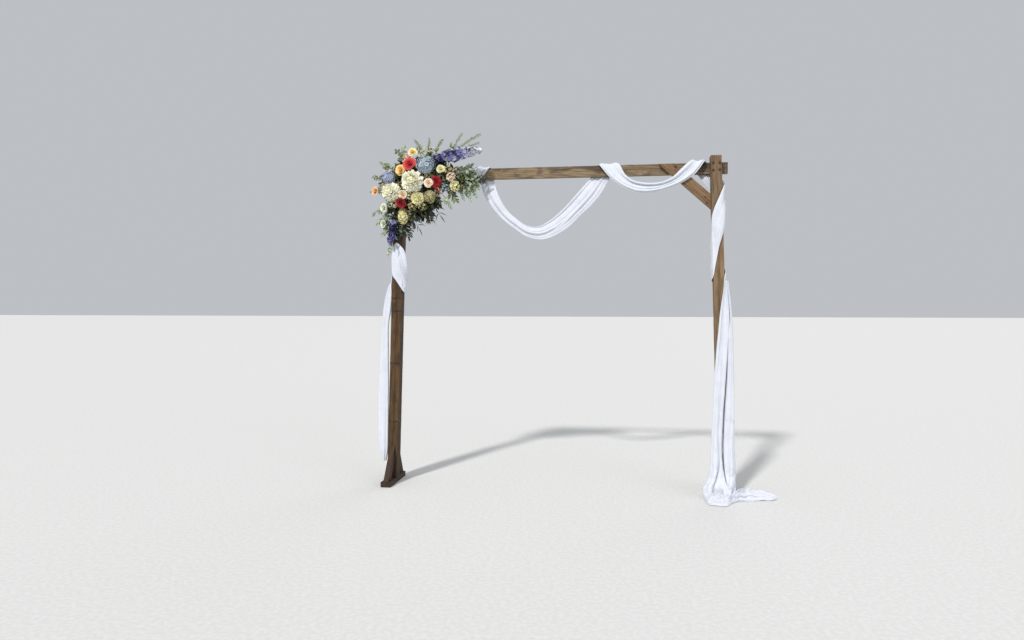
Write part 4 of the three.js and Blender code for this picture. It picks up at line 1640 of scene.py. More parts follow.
@dataclass(frozen=True)
class Rose(Bloom):
    """An open garden rose of cupped, overlapping petals round a tight heart."""

    radius: float
    heart: Colour
    middle: Colour
    rim: Colour
    petals: int = 28
    openness: float = 1.0

    def add_to(self, shape: Shape, stand: Stand, seed: int) -> None:
        """Adds the rose.

        Args:
            shape: What to add it to.
            stand: Its place and facing.
            seed: Varies its petals.
        """
        rng = np.random.default_rng(seed)
        s = np.linspace(-1, 1, 7)[None, :]
        t = np.linspace(0, 1, 8)[:, None]
        fine = np.linspace(0, 1, 41)
        for k in range(self.petals):
            share = k / (self.petals - 1)
            angle = k * GOLDEN_TURN + rng.normal(0, 0.12)
            lean = math.radians(3 + 74 * share**1.15 * self.openness) * rng.uniform(0.94, 1.05)
            length = self.radius * (0.66 + 0.42 * share) * rng.uniform(0.96, 1.04)
            roll = 1.9 * max(0.0, share - 0.25) * rng.uniform(0.7, 1.2)
            slope = lean * (0.50 + 0.50 * fine) + roll * np.clip(fine - 0.72, 0, 1) ** 1.2 * 2.4
            steps = length / 40
            out = self.radius * (0.02 + 0.16 * share) + summed(np.sin(slope[1:]) * steps)
            up = -0.34 * self.radius * (1 + 0.3 * share) + summed(np.cos(slope[1:]) * steps)
            reach = t * (1 - 0.10 * s**2)
            r = np.interp(reach, fine, out) * (1 + 0.05 * share * s**2)
            z = np.interp(reach, fine, up)
            z = z + self.radius * 0.03 * np.sin(2.6 * s + rng.uniform(0, 6)) * t**2
            half = math.radians(118 - 62 * share)
            psi = angle + s * half * np.sin(np.pi * (0.10 + 0.74 * t)) ** 0.5
            grid = np.stack([r * np.cos(psi), r * np.sin(psi), z], axis=-1) * 0.98
            if share < 0.40:
                ground = mixed(self.heart, self.middle, share * 2.5)
            else:
                ground = mixed(self.middle, self.rim, (share - 0.40) / 0.9)
            shade = (0.80 + 0.20 * t * np.ones_like(s))[..., None] * rng.uniform(0.95, 1.04)
            edge = 0.30 * (t**3 * np.ones_like(s))[..., None]
            tint = ground * shade * (1 - edge) + np.array(self.rim) * edge
            shape.sheet(stand.carry(grid), tint=tint)
        self.add_heart(shape, stand)

    def add_heart(self, shape: Shape, stand: Stand) -> None:
        """Adds the closed bud in the middle, in a slight spiral.

        Args:
            shape: What to add it to.
            stand: The rose's place and facing.
        """
        around = np.linspace(0, 2 * math.pi, 17)[None, :]
        down = np.linspace(0, math.pi / 2, 7)[:, None]
        wide = 0.17 * self.radius * np.sin(down) * (1 + 0.10 * np.sin(3 * around + 5 * down))
        level = self.radius * (0.10 + 0.22 * np.cos(down)) * np.ones_like(around)
        grid = np.stack([wide * np.cos(around), wide * np.sin(around), level], axis=-1)
        spiral = (0.5 + 0.5 * np.sin(2 * around + 9 * down))[..., None]
        tint = mixed(self.heart, self.middle, spiral)
        shape.sheet(stand.carry(grid), tint=tint)


@dataclass(frozen=True)
class Mum(Bloom):
    """A large chrysanthemum, a ball of narrow petals that curve in over the heart."""

    radius: float
    heart: Colour
    petal: Colour
    shade: Colour
    petals: int = 210
    loose: float = 0.12

    def add_to(self, shape: Shape, stand: Stand, seed: int) -> None:
        """Adds the chrysanthemum.

        Args:
            shape: What to add it to.
            stand: Its place and facing.
            seed: Varies its petals.
        """
        rng = np.random.default_rng(seed)
        t = np.linspace(0, 1, 7)[:, None]
        s = np.array([-1.0, 0.0, 1.0])[None, :]
        for k in range(self.petals):
            polar = math.acos(1 - 1.5 * (k + 0.5) / self.petals)
            share = polar / math.radians(120)
            azimuth = k * GOLDEN_TURN + rng.normal(0, 0.1)
            bend = 0.30 * share - 0.62 * (1 - share) + rng.normal(0, self.loose)
            theta = polar + bend * t**2.2
            reach = self.radius * (0.80 + 0.20 * rng.random() + 0.04 * share)
            rho = reach * (0.30 + 0.70 * t ** (0.85 + 0.25 * (1 - share)))
            rho = rho - reach * 0.10 * (1 - share) * t**3
            wide = self.radius * (0.115 + 0.03 * share) * np.sin(np.pi * (0.12 + 0.76 * t)) ** 0.75
            trough = self.radius * 0.045 * (s**2) * np.sin(np.pi * t)
            away = np.array([math.cos(azimuth), math.sin(azimuth), 0.0])
            sine, cosine = np.sin(theta)[..., None], np.cos(theta)[..., None]
            e_out = sine * away + cosine * np.array(ALONG_Z)
            e_up = sine * np.array(ALONG_Z) - cosine * away
            e_side = np.array([-math.sin(azimuth), math.cos(azimuth), 0.0])
            grid = e_out * rho[..., None] + e_side * (wide * s)[..., None] + e_up * trough[..., None]
            ground = mixed(self.heart, self.petal, share * 2.6)
            light = np.clip(0.60 + 0.55 * t, 0, 1) * np.ones_like(s)
            tint = mixed(self.shade, ground, light) * rng.uniform(0.95, 1.03)
            shape.sheet(stand.carry(grid), tint=tint)


def add_floret(
    shape: Shape,
    stand: Stand,
    radius: float,
    petals: int,
    colours: tuple[Colour, Colour, Colour],
    cup: float,
    rng: np.random.Generator,
) -> None:
    """Adds one small flower of a cluster.

    Args:
        shape: What to add it to.
        stand: Its place and facing.
        radius: Its size.
        petals: How many petals.
        colours: Of the petals' bases, their tips and the eye.
        cup: How far the petals' tips rise.
        rng: Varies it.
    """
    base, tip, eye = colours
    t = np.linspace(0.06, 1, 5)[:, None]
    s = np.linspace(-1, 1, 4)[None, :]
    for k in range(petals):
        angle = 2 * math.pi * k / petals + rng.normal(0, 0.09)
        long = radius * rng.uniform(0.86, 1.08)
        half = radius * math.sin(math.pi / petals) * 0.98
        wide = half * np.sin(np.pi * (0.10 + 0.76 * t)) ** 0.62
        along = long * t * (1 - 0.10 * s**2)
        side = wide * s
        rise = radius * (cup * t**2 + 0.10 * s**2 * t + 0.05 * np.sin(4 * s + rng.uniform(0, 6)) * t)
        x = along * math.cos(angle) - side * math.sin(angle)
        y = along * math.sin(angle) + side * math.cos(angle)
        grid = np.stack([x, y, rise], axis=-1)
        tint = mixed(base, tip, t**0.8 * np.ones_like(s)) * rng.uniform(0.93, 1.05)
        shape.sheet(stand.carry(grid), tint=tint)
    ring = [(math.cos(math.pi * k / 3), math.sin(math.pi * k / 3)) for k in range(6)]
    dome = np.array([(0.13 * x, 0.13 * y, 0.05) for x, y in ring] + [(0, 0, 0.16)]) * radius
    shape.add(stand.carry(dome), [(k, (k + 1) % 6, 6) for k in range(6)], tint=np.tile(eye, (7, 1)))


@dataclass(frozen=True)
class Hydrangea(Bloom):
    """A round head of many four-petalled florets."""

    radius: float
    base: Colour
    tips: tuple[Colour, ...]
    eye: Colour
    florets: int = 74
    squash: float = 0.85

    def add_to(self, shape: Shape, stand: Stand, seed: int) -> None:
        """Adds the head.

        Args:
            shape: What to add it to.
            stand: Its place and facing.
            seed: Varies its florets.
        """
        rng = np.random.default_rng(seed)
        for way in over_ball(self.florets, 1.45):
            spot = way * np.array([1, 1, self.squash]) * self.radius * rng.uniform(0.76, 0.93)
            outward = stand.carry(way[None, :])[0] - np.array(stand.place) + rng.normal(0, 0.14, 3)
            place = stand.carry(spot[None, :])[0]
            tip = self.tips[int(rng.integers(len(self.tips)))]
            small = Stand(tuple(place), tuple(outward), rng.uniform(0, 6))
            size = self.radius * rng.uniform(0.19, 0.24)
            add_floret(shape, small, size, 4, (self.base, tip, self.eye), 0.05, rng)


@dataclass(frozen=True)
class Stock(Bloom):
    """A short spike of ruffled rosettes."""

    radius: float
    stretch: float
    base: Colour
    tips: tuple[Colour, ...]
    rosettes: int = 22

    def add_to(self, shape: Shape, stand: Stand, seed: int) -> None:
        """Adds the spike, with its axis along the stand's facing.

        Args:
            shape: What to add it to.
            stand: Its middle and its axis.
            seed: Varies its rosettes.
        """
        rng = np.random.default_rng(seed)
        for way in over_ball(self.rosettes):
            spot = way * np.array([0.72, 0.72, 0.78 * self.stretch]) * self.radius
            lifted = way + np.array([0, 0, 0.35])
            outward = stand.carry(lifted[None, :])[0] - np.array(stand.place)
            place = tuple(stand.carry(spot[None, :])[0])
            tip = self.tips[int(rng.integers(len(self.tips)))]
            size = self.radius * (0.42 - 0.16 * max(0.0, way[2]))
            eye = tuple(mixed(self.base, tip, 0.3))
            for layer in range(2):
                inner = Stand(place, tuple(outward), rng.uniform(0, 6))
                wide, cup = size * (1 - 0.3 * layer), 0.25 + 0.5 * layer
                add_floret(shape, inner, wide, 5, (self.base, tip, eye), cup, rng)


@dataclass(frozen=True)
class Delphinium:
    """A long loose spike of five-petalled florets and dark buds, small towards its tip."""

    start: Vec
    end: Vec
    girth: tuple[float, ...]
    shades: tuple[Colour, ...]
    eye: Colour
    florets: int
    floret_size: Flat = (0.013, 0.009)
    buds: float = 0.2

    def add_to(self, shape: Shape, seed: int) -> None:
        """Adds the spike's stem, florets and buds.

        Args:
            shape: What to add them to.
            seed: Varies its florets.
        """
        rng = np.random.default_rng(seed)
        start, end = np.array(self.start), np.array(self.end)
        axis = unit(end - start)
        side = unit(np.cross(axis, ALONG_Y))
        other = np.cross(axis, side)
        path = np.stack([start + (end - start) * t for t in np.linspace(0, 1, 6)])
        add_stem(shape, path, 0.0035, 0.0015, srgb(96, 112, 84))
        dark = np.array(srgb(66, 54, 104))
        girths = np.linspace(0, 1, len(self.girth))
        tones = np.linspace(0, 1, len(self.shades))
        for k in range(self.florets):
            t = (k + 0.5) / self.florets
            girth = float(np.interp(t, girths, self.girth))
            angle = k * GOLDEN_TURN + rng.normal(0, 0.25)
            way = side * math.cos(angle) + other * math.sin(angle)
            reach = girth * rng.uniform(0.45, 0.92)
            place = start + (end - start) * t + way * reach + axis * rng.normal(0, 0.004)
            foot = place - way * reach * 0.9 - axis * 0.010
            bend = (foot + place) / 2 - axis * 0.002
            add_stem(shape, np.stack([foot, bend, place]), 0.0012, 0.0008, tuple(dark * 0.8))
            pick = float(np.clip(t + rng.normal(0, 0.06), 0, 1))
            tone = np.array([np.interp(pick, tones, part) for part in zip(*self.shades)])
            if rng.random() < 0.34:
                tone = mixed(tone, self.eye, 0.5)
            tone = np.clip(tone * rng.uniform(0.6, 1.2), 0, 1)
            large, small = self.floret_size
            size = (large + (small - large) * t) * rng.uniform(0.85, 1.2)
            outward = way + axis * rng.uniform(0.0, 0.5) + rng.normal(0, 0.15, 3)
            cup = 0.22
            if rng.random() < self.buds:
                tone, size, cup = dark, size * 0.55, 1.2
            stand = Stand(tuple(place), tuple(outward), rng.uniform(0, 6))
            add_floret(shape, stand, size, 5, (tuple(tone * 0.7), tuple(tone), self.eye), cup, rng)


def add_stem(shape: Shape, path: Array, thick: float, thin: float, colour: Colour) -> None:
    """Adds a round stem that tapers along a path.

    Args:
        shape: What to add it to.
        path: Points that it follows.
        thick: Its radius at the start.
        thin: Its radius at the end.
        colour: Its colour.
    """
    count = len(path)
    lines = unit(np.gradient(path, axis=0))
    aside = (0.31, 0.90, 0.29)
    side = unit(np.cross(lines, aside))[:, None, :]
    other = np.cross(lines, side[:, 0])[:, None, :]
    angles = np.linspace(0, 2 * math.pi, 6)[:-1, None]
    radii = np.linspace(thick, thin, count)[:, None, None]
    grid = path[:, None, :] + (np.cos(angles) * side + np.sin(angles) * other) * radii
    shape.sheet(grid, tint=np.tile(colour, (count * 5, 1)), around=True)


class Leafage(Enum):
    """Kinds of cut leaf in the arrangement."""

    LEMON = "broad glossy pointed leaf"
    DARK = "dark pointed leaf"
    DUSTY = "pale felted leaf"
    ROUND = "small round blue-green leaf"
    BLADE = "long narrow blade"
    FERN = "fine feathery leaflet"


LEMON, DARK, DUSTY, ROUND, BLADE, FERN = Leafage


@dataclass(frozen=True)
class LeafForm:
    """A leaf's sizes and colours."""

    length: Flat
    slim: float
    droop: float
    fold: float
    point: float
    colours: tuple[Colour, ...]

    def add_to(
        self,
        shape: Shape,
        base: Array,
        way: Array,
        face: Array,
        scale: float,
        rng: np.random.Generator,
    ) -> None:
        """Adds one leaf.

        Args:
            shape: What to add it to.
            base: Where it starts.
            way: Where it points.
            face: Which way its upper side looks.
            scale: A factor on its length.
            rng: Varies it.
        """
        length = rng.uniform(*self.length) * scale
        way = unit(way)
        side = unit(np.cross(way, face))
        up = np.cross(side, way)
        t = np.linspace(0, 1, 8)[:, None]
        s = np.array([-1.0, -0.45, 0.0, 0.45, 1.0])[None, :]
        width = length * self.slim * np.sin(np.pi * t**self.point) ** 0.85
        droop = self.droop * rng.uniform(0.3, 1.5)
        arch = -droop * length * t**2 + 0.06 * length * np.sin(np.pi * t)
        sway = length * 0.12 * rng.normal() * t**2
        lift = np.abs(s) * width * self.fold
        grid = (
            base
            + way * (length * t)[..., None]
            + side * (width * s + sway)[..., None]
            + up * (arch + lift)[..., None]
        )
        colour = np.array(self.colours[int(rng.integers(len(self.colours)))]) * rng.uniform(0.85, 1.12)
        rib = 1 + 0.28 * np.exp(-((s / 0.22) ** 2)) * (1 - t)
        ends = 0.80 + 0.26 * np.sin(np.pi * np.clip(t, 0.05, 0.9))
        shape.sheet(grid, tint=colour * (rib * ends)[..., None])


LEAVES_BY_KIND = {
    LEMON: LeafForm(
        (0.034, 0.062), 0.24, 0.25, 0.22, 0.80,
        (srgb(98, 108, 66), srgb(114, 122, 80), srgb(80, 92, 56)),
    ),
    DARK: LeafForm(
        (0.040, 0.075), 0.17, 0.35, 0.25, 0.85,
        (srgb(48, 56, 38), srgb(36, 42, 30), srgb(64, 66, 48)),
    ),
    DUSTY: LeafForm(
        (0.030, 0.055), 0.25, 0.20, 0.18, 0.90,
        (srgb(166, 176, 150), srgb(146, 158, 132), srgb(124, 138, 108)),
    ),
    ROUND: LeafForm(
        (0.018, 0.032), 0.40, 0.15, 0.12, 1.00,
        (srgb(150, 166, 146), srgb(124, 140, 118), srgb(182, 194, 172)),
    ),
    BLADE: LeafForm(
        (0.070, 0.110), 0.060, 0.45, 0.40, 0.75,
        (srgb(50, 70, 62), srgb(42, 58, 50), srgb(64, 82, 68)),
    ),
    FERN: LeafForm(
        (0.016, 0.030), 0.11, 0.10, 0.10, 0.80,
        (srgb(112, 128, 76), srgb(94, 112, 62), srgb(130, 142, 92)),
    ),
}


@dataclass(frozen=True)
class Spray:
    """A cut stem with leaves on both sides, from one point to its tip."""

    start: Vec
    tip: Vec
    sag: float
    kind: Leafage
    pairs: int
    leaf_scale: float = 1.0
    bare: float = 0.15

    def add_to(self, shape: Shape, seed: int) -> None:
        """Adds the stem and its leaves.

        Args:
            shape: What to add them to.
            seed: Varies its leaves.
        """
        rng = np.random.default_rng(seed)
        start, tip = np.array(self.start), np.array(self.tip)
        t = np.linspace(0, 1, 14)[:, None]
        rise = np.array([0.0, -0.15, 1.0]) * self.sag
        path = start + (tip - start) * t + rise * (4 * t * (1 - t))
        form = LEAVES_BY_KIND[self.kind]
        add_stem(shape, path, 0.0022, 0.0007, tuple(np.array(form.colours[-1]) * 0.8))
        for k in range(self.pairs):
            share = self.bare + (1 - self.bare) * (k + 0.5) / self.pairs
            spot = along_curve(path, np.array([share * 13]))[0]
            ahead = unit(along_curve(path, np.array([min(13.0, share * 13 + 0.5)]))[0] - spot)
            across = unit(np.cross(ahead, (0.0, -1.0, 0.25)))
            shrink = self.leaf_scale * (1.05 - 0.45 * share)
            for way in (-1, 1):
                turn = across * way * rng.uniform(0.55, 1.0) + ahead * rng.uniform(0.5, 0.9)
                turn = turn + rng.normal(0, 0.22, 3)
                face = np.array([0.1, -1.0, 0.5]) + rng.normal(0, 0.35, 3)
                form.add_to(shape, spot, turn, face, shrink, rng)
        face = np.array([0.0, -1.0, 0.4])
        form.add_to(shape, path[-1], path[-1] - path[-2], face, self.leaf_scale * 0.7, rng)


@dataclass(frozen=True)
class LeafMass:
    """Leaves bunched thickly over a lump, on a dark core that paints the shade deep inside the mass."""

    middle: Vec
    radii: Vec
    leaves: int
    kinds: tuple[Leafage, ...]

    def add_to(self, shape: Shape, seed: int) -> None:
        """Adds the dark core of painted shade and the leaves.

        Args:
            shape: What to add them to.
            seed: Varies its leaves.
        """
        rng = np.random.default_rng(seed)
        middle, radii = np.array(self.middle), np.array(self.radii)
        theta = np.linspace(0.02, math.pi - 0.02, 15)[:, None]
        phi = np.linspace(0, 2 * math.pi, 25)[None, :-1]
        ring, level = np.sin(theta), np.cos(theta) * np.ones_like(phi)
        ball = np.stack([ring * np.cos(phi), ring * np.sin(phi), level], axis=-1)
        core = middle + ball * radii * 0.66
        core = core + ball * (ripple(core, 26.0, seed) * 0.014)[..., None]
        core[..., 1] = np.minimum(core[..., 1], -0.047)
        # painted shade: a near-black ball stands in for the shade deep inside the leaves
        shape.sheet(core, tint=np.broadcast_to(srgb(38, 44, 26), core.shape), around=True)
        for way in over_ball(self.leaves):
            kind = self.kinds[int(rng.integers(len(self.kinds)))]
            spot = middle + way * radii * rng.uniform(0.55, 0.85)
            outward = way + rng.normal(0, 0.55, 3)
            face = way + np.array([0.0, -0.5, 0.5]) + rng.normal(0, 0.3, 3)
            if way[1] > 0.35:
                spot = middle + way * radii * rng.uniform(0.1, 0.75)
                outward[1] = -0.02
                face = np.array([0.0, 1.0, 0.2]) + rng.normal(0, 0.12, 3)
            spot[1] = min(spot[1], -0.0465 if way[1] > 0.35 else -0.050)
            outward[1] = min(outward[1], 0.25)
            LEAVES_BY_KIND[kind].add_to(shape, spot, outward, face, rng.uniform(0.7, 1.05), rng)


@dataclass(frozen=True)
class Setting:
    """One bloom of the arrangement: its piece, how it sits and its flower."""

    name: str
    node: str | None
    slot: str
    place: Vec
    facing: Vec
    flower: Bloom


@dataclass(frozen=True)
class Tuft:
    """A small cluster of blossom that fills a gap between the large flowers."""

    place: Vec
    facing: Vec
    radius: float
    stretch: float
    base: Colour
    tips: tuple[Colour, ...]
    rosettes: int = 16


@dataclass(frozen=True)
class Greenery:
    """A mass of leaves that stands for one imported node: its lumps and the sprays that leave them."""

    name: str
    node: str
    lumps: tuple[LeafMass, ...]
    sprays: tuple[Spray, ...]


CREAM_MUM = (srgb(250, 248, 200), srgb(255, 254, 238), srgb(244, 242, 214))
OLIVE_CREAM = (srgb(140, 132, 84), (srgb(206, 198, 140), srgb(184, 176, 118), srgb(224, 216, 166)))
SOFT_CREAM = (srgb(196, 176, 128), (srgb(246, 232, 196), srgb(240, 216, 178), srgb(250, 240, 214)))
GREY_GREEN = (srgb(122, 128, 100), (srgb(184, 188, 160), srgb(206, 208, 186), srgb(160, 166, 134)))
WHITE_TUFT = (srgb(176, 184, 150), (srgb(232, 234, 214), srgb(214, 220, 194), srgb(244, 244, 232)))
ICE_BLUE = (srgb(120, 146, 150), (srgb(170, 196, 204), srgb(192, 210, 214)))
RUST = (srgb(110, 46, 24), (srgb(168, 84, 44), srgb(190, 112, 62)))
PALE_PINK = (srgb(226, 190, 160), (srgb(252, 236, 218),))
SALMON = (srgb(214, 150, 130), (srgb(248, 214, 196),))

BLOOMS = (
    Setting(
        "yellow_rose", "rose_yellow", "petal_yellow", (-1.020, -0.134, 2.507), (0.1, -0.9, 0.45),
        Rose(0.036, srgb(238, 200, 96), srgb(246, 224, 140), srgb(252, 243, 204), 30),
    ),
    Setting(
        "red_rose", "rose_red", "petal_red", (-1.036, -0.162, 2.413), (-0.05, -1.0, 0.25),
        Rose(0.050, srgb(172, 14, 30), srgb(210, 40, 48), srgb(226, 92, 84), 36),
    ),
    Setting(
        "peach_rose", "rose_peach", "petal_peach", (-1.113, -0.134, 2.376), (-0.25, -1.0, 0.2),
        Rose(0.045, srgb(250, 176, 80), srgb(254, 212, 128), srgb(255, 236, 176), 34),
    ),
    Setting(
        "pale_hydrangea", "hydrangea_white", "petal_white", (-0.919, -0.138, 2.407), (0.1, -1.0, 0.35),
        Hydrangea(
            0.078, srgb(104, 126, 148), (srgb(208, 221, 230), srgb(234, 240, 240), srgb(176, 196, 212)),
            srgb(206, 214, 192), 76,
        ),
    ),
    Setting(
        "large_mum", "mum_large", "petal_cream", (-1.017, -0.156, 2.287), (0.0, -1.0, 0.15),
        Mum(0.090, *CREAM_MUM, 260),
    ),
    Setting(
        "left_mum", "mum_left", "petal_cream", (-1.180, -0.150, 2.212), (-0.3, -1.0, 0.05),
        Mum(0.077, *CREAM_MUM, 220),
    ),
    Setting(
        "low_mum", "mum_low", "petal_white", (-0.979, -0.146, 2.160), (0.05, -1.0, -0.2),
        Mum(0.056, srgb(236, 230, 150), srgb(252, 248, 208), srgb(220, 214, 160), 150),
    ),
    Setting(
        "blue_hydrangea", "hydrangea_blue", "petal_blue", (-1.209, -0.130, 2.317), (-0.35, -1.0, 0.2),
        Hydrangea(
            0.058, srgb(116, 126, 164), (srgb(180, 190, 216), srgb(212, 217, 232), srgb(150, 161, 198)),
            srgb(228, 230, 236), 66,
        ),
    ),
    Setting(
        "blush_rose", "rose_blush", "petal_blush", (-0.895, -0.147, 2.274), (0.1, -1.0, 0.1),
        Rose(0.036, srgb(240, 196, 150), srgb(248, 222, 194), srgb(252, 242, 226), 34),
    ),
    Setting(
        "cream_rose", "rose_cream", "petal_cream", (-0.804, -0.142, 2.373), (0.2, -1.0, 0.3),
        Rose(0.036, srgb(214, 212, 120), srgb(238, 236, 176), srgb(248, 246, 216), 30, 0.85),
    ),
    Setting(
        "wine_rose", "rose_wine", "petal_wine", (-0.842, -0.128, 2.284), (0.35, -1.0, 0.05),
        Rose(0.043, srgb(112, 4, 18), srgb(160, 14, 34), srgb(190, 38, 54), 34),
    ),
    Setting(
        "yellow_stock", "stock_yellow", "petal_yellow", (-1.098, -0.120, 2.032), (0.08, -0.2, -1.0),
        Stock(
            0.041, 1.75, srgb(234, 225, 160),
            (srgb(248, 243, 196), srgb(246, 238, 178), srgb(252, 249, 222)), 38,
        ),
    ),
    Setting(
        "cream_stock", "stock_cream", "petal_cream", (-0.700, -0.126, 2.247), (0.35, -0.5, -0.8),
        Stock(0.039, 1.3, srgb(230, 221, 164), (srgb(247, 241, 190), srgb(250, 245, 212)), 24),
    ),
    Setting(
        "dark_rose", None, "petal_wine", (-1.102, -0.160, 2.126), (-0.1, -1.0, -0.2),
        Rose(0.040, srgb(96, 4, 18), srgb(146, 12, 32), srgb(178, 30, 48), 32),
    ),
    Setting(
        "small_cream_rose", None, "petal_cream", (-1.092, -0.160, 2.190), (0.1, -1.0, 0.0),
        Rose(0.036, srgb(226, 196, 146), srgb(242, 222, 186), srgb(250, 240, 216), 28),
    ),
    Setting(
        "peach_bud", None, "petal_peach", (-1.314, -0.118, 2.224), (-0.5, -1.0, 0.2),
        Rose(0.036, srgb(238, 158, 92), srgb(246, 190, 128), srgb(252, 220, 170), 26, 0.9),
    ),
    Setting(
        "tan_hydrangea", None, "petal_cream", (-0.886, -0.140, 2.172), (0.15, -1.0, -0.25),
        Hydrangea(
            0.052, srgb(134, 124, 80), (srgb(202, 192, 142), srgb(222, 212, 168), srgb(170, 160, 110)),
            srgb(214, 206, 152), 60,
        ),
    ),
    Setting(
        "white_rose_left", None, "petal_white", (-1.246, -0.124, 2.096), (-0.4, -1.0, 0.0),
        Rose(0.037, srgb(210, 214, 164), srgb(234, 236, 208), srgb(248, 248, 238), 28, 0.9),
    ),
    Setting(
        "white_rose_low", None, "petal_white", (-1.254, -0.110, 1.979), (-0.5, -1.0, -0.1),
        Rose(0.032, srgb(206, 210, 160), srgb(230, 232, 202), srgb(246, 246, 232), 26, 0.85),
    ),
)

TUFTS = (
    Tuft((-0.728, -0.136, 2.316), (0.2, -0.9, 0.5), 0.036, 1.0, *PALE_PINK, 22),
    Tuft((-0.752, -0.128, 2.368), (0.1, -0.9, 0.5), 0.034, 1.1, *OLIVE_CREAM),
    Tuft((-0.686, -0.116, 2.366), (0.3, -0.9, 0.5), 0.034, 1.1, *GREY_GREEN),
    Tuft((-0.769, -0.124, 2.240), (0.1, -1.0, 0.0), 0.028, 1.0, *ICE_BLUE, 14),
    Tuft((-0.830, -0.124, 2.222), (0.1, -1.0, -0.3), 0.028, 1.0, *RUST, 14),
    Tuft((-0.822, -0.118, 2.190), (0.2, -1.0, -0.4), 0.020, 1.0, *WHITE_TUFT, 10),
    Tuft((-0.740, -0.112, 2.206), (0.3, -0.9, -0.5), 0.024, 1.2, *GREY_GREEN, 12),
    Tuft((-0.950, -0.122, 2.104), (0.1, -1.0, -0.4), 0.034, 1.2, *OLIVE_CREAM),
    Tuft((-1.024, -0.128, 2.106), (0.0, -1.0, -0.4), 0.036, 1.1, *OLIVE_CREAM),
    Tuft((-1.040, -0.140, 2.180), (0.0, -1.0, -0.2), 0.030, 1.1, *SOFT_CREAM),
    Tuft((-1.158, -0.138, 2.128), (-0.2, -1.0, -0.2), 0.034, 1.1, *SOFT_CREAM),
    Tuft((-1.110, -0.140, 2.262), (-0.1, -1.0, 0.1), 0.030, 1.0, *OLIVE_CREAM, 14),
    Tuft((-0.905, -0.140, 2.330), (0.0, -1.0, 0.1), 0.026, 1.0, *OLIVE_CREAM, 12),
    Tuft((-1.238, -0.130, 2.256), (-0.4, -1.0, 0.1), 0.030, 1.0, *SOFT_CREAM, 14),
    Tuft((-1.065, -0.130, 2.470), (-0.3, -0.6, 0.7), 0.030, 1.1, *SALMON),
    Tuft((-0.935, -0.116, 2.506), (0.4, -0.4, 0.6), 0.032, 1.3, *WHITE_TUFT, 20),
    Tuft((-0.880, -0.112, 2.522), (0.8, -0.3, 0.4), 0.026, 1.5, *WHITE_TUFT, 14),
    Tuft((-0.985, -0.112, 2.530), (-0.2, -0.4, 0.8), 0.022, 1.4, *GREY_GREEN, 12),
    Tuft((-1.236, -0.108, 2.410), (-0.6, -0.4, 0.6), 0.026, 1.3, *GREY_GREEN, 16),
    Tuft((-1.060, -0.118, 2.050), (0.2, -1.0, -0.4), 0.026, 1.3, *OLIVE_CREAM, 12),
)

BROAD_LEAVES = (LEMON, DARK, DUSTY, LEMON)
DEEP_LEAVES = (DARK, DARK, LEMON)
PALE_LEAVES = (DUSTY, ROUND, LEMON)
DUSTY_LEAVES = (DUSTY, ROUND, ROUND, DUSTY, LEMON)

CORNER_LUMPS = (
    LeafMass((-1.040, -0.066, 2.300), (0.225, 0.066, 0.190), 520, BROAD_LEAVES),
    LeafMass((-0.890, -0.072, 2.400), (0.155, 0.060, 0.115), 260, BROAD_LEAVES),
    LeafMass((-1.190, -0.070, 2.250), (0.105, 0.060, 0.120), 220, PALE_LEAVES),
    LeafMass((-0.920, -0.074, 2.170), (0.098, 0.058, 0.090), 230, DEEP_LEAVES),
    LeafMass((-0.975, -0.060, 2.082), (0.080, 0.046, 0.050), 160, (DARK,)),
)
CORNER_SPRAYS = (
    Spray((-0.905, -0.110, 2.470), (-0.896, -0.120, 2.606), 0.0, FERN, 26),
    Spray((-0.940, -0.100, 2.480), (-1.010, -0.100, 2.600), 0.01, FERN, 24),
    Spray((-0.860, -0.100, 2.480), (-0.800, -0.100, 2.600), 0.01, FERN, 24),
    Spray((-1.080, -0.110, 2.430), (-1.150, -0.110, 2.520), 0.01, LEMON, 6, 0.9),
    Spray((-1.120, -0.100, 2.440), (-1.095, -0.100, 2.550), 0.01, DUSTY, 9, 0.9),
    Spray((-1.160, -0.110, 2.360), (-1.262, -0.110, 2.432), 0.01, DUSTY, 8, 0.9),
    Spray((-1.200, -0.120, 2.280), (-1.322, -0.120, 2.330), 0.01, LEMON, 6, 0.8),
    Spray((-1.220, -0.110, 2.220), (-1.342, -0.110, 2.226), 0.01, DUSTY, 8, 0.8),
    Spray((-0.870, -0.100, 2.120), (-0.820, -0.100, 2.040), 0.0, BLADE, 2, 0.9),
    Spray((-0.940, -0.090, 2.090), (-0.880, -0.090, 2.010), 0.0, BLADE, 2, 0.8),
    Spray((-0.920, -0.080, 2.100), (-0.905, -0.080, 2.000), 0.0, DARK, 7),
)
BEAM_LUMPS = (
    LeafMass((-0.730, -0.072, 2.305), (0.115, 0.058, 0.095), 260, BROAD_LEAVES),
    LeafMass((-0.620, -0.068, 2.290), (0.095, 0.046, 0.085), 260, DUSTY_LEAVES),
)
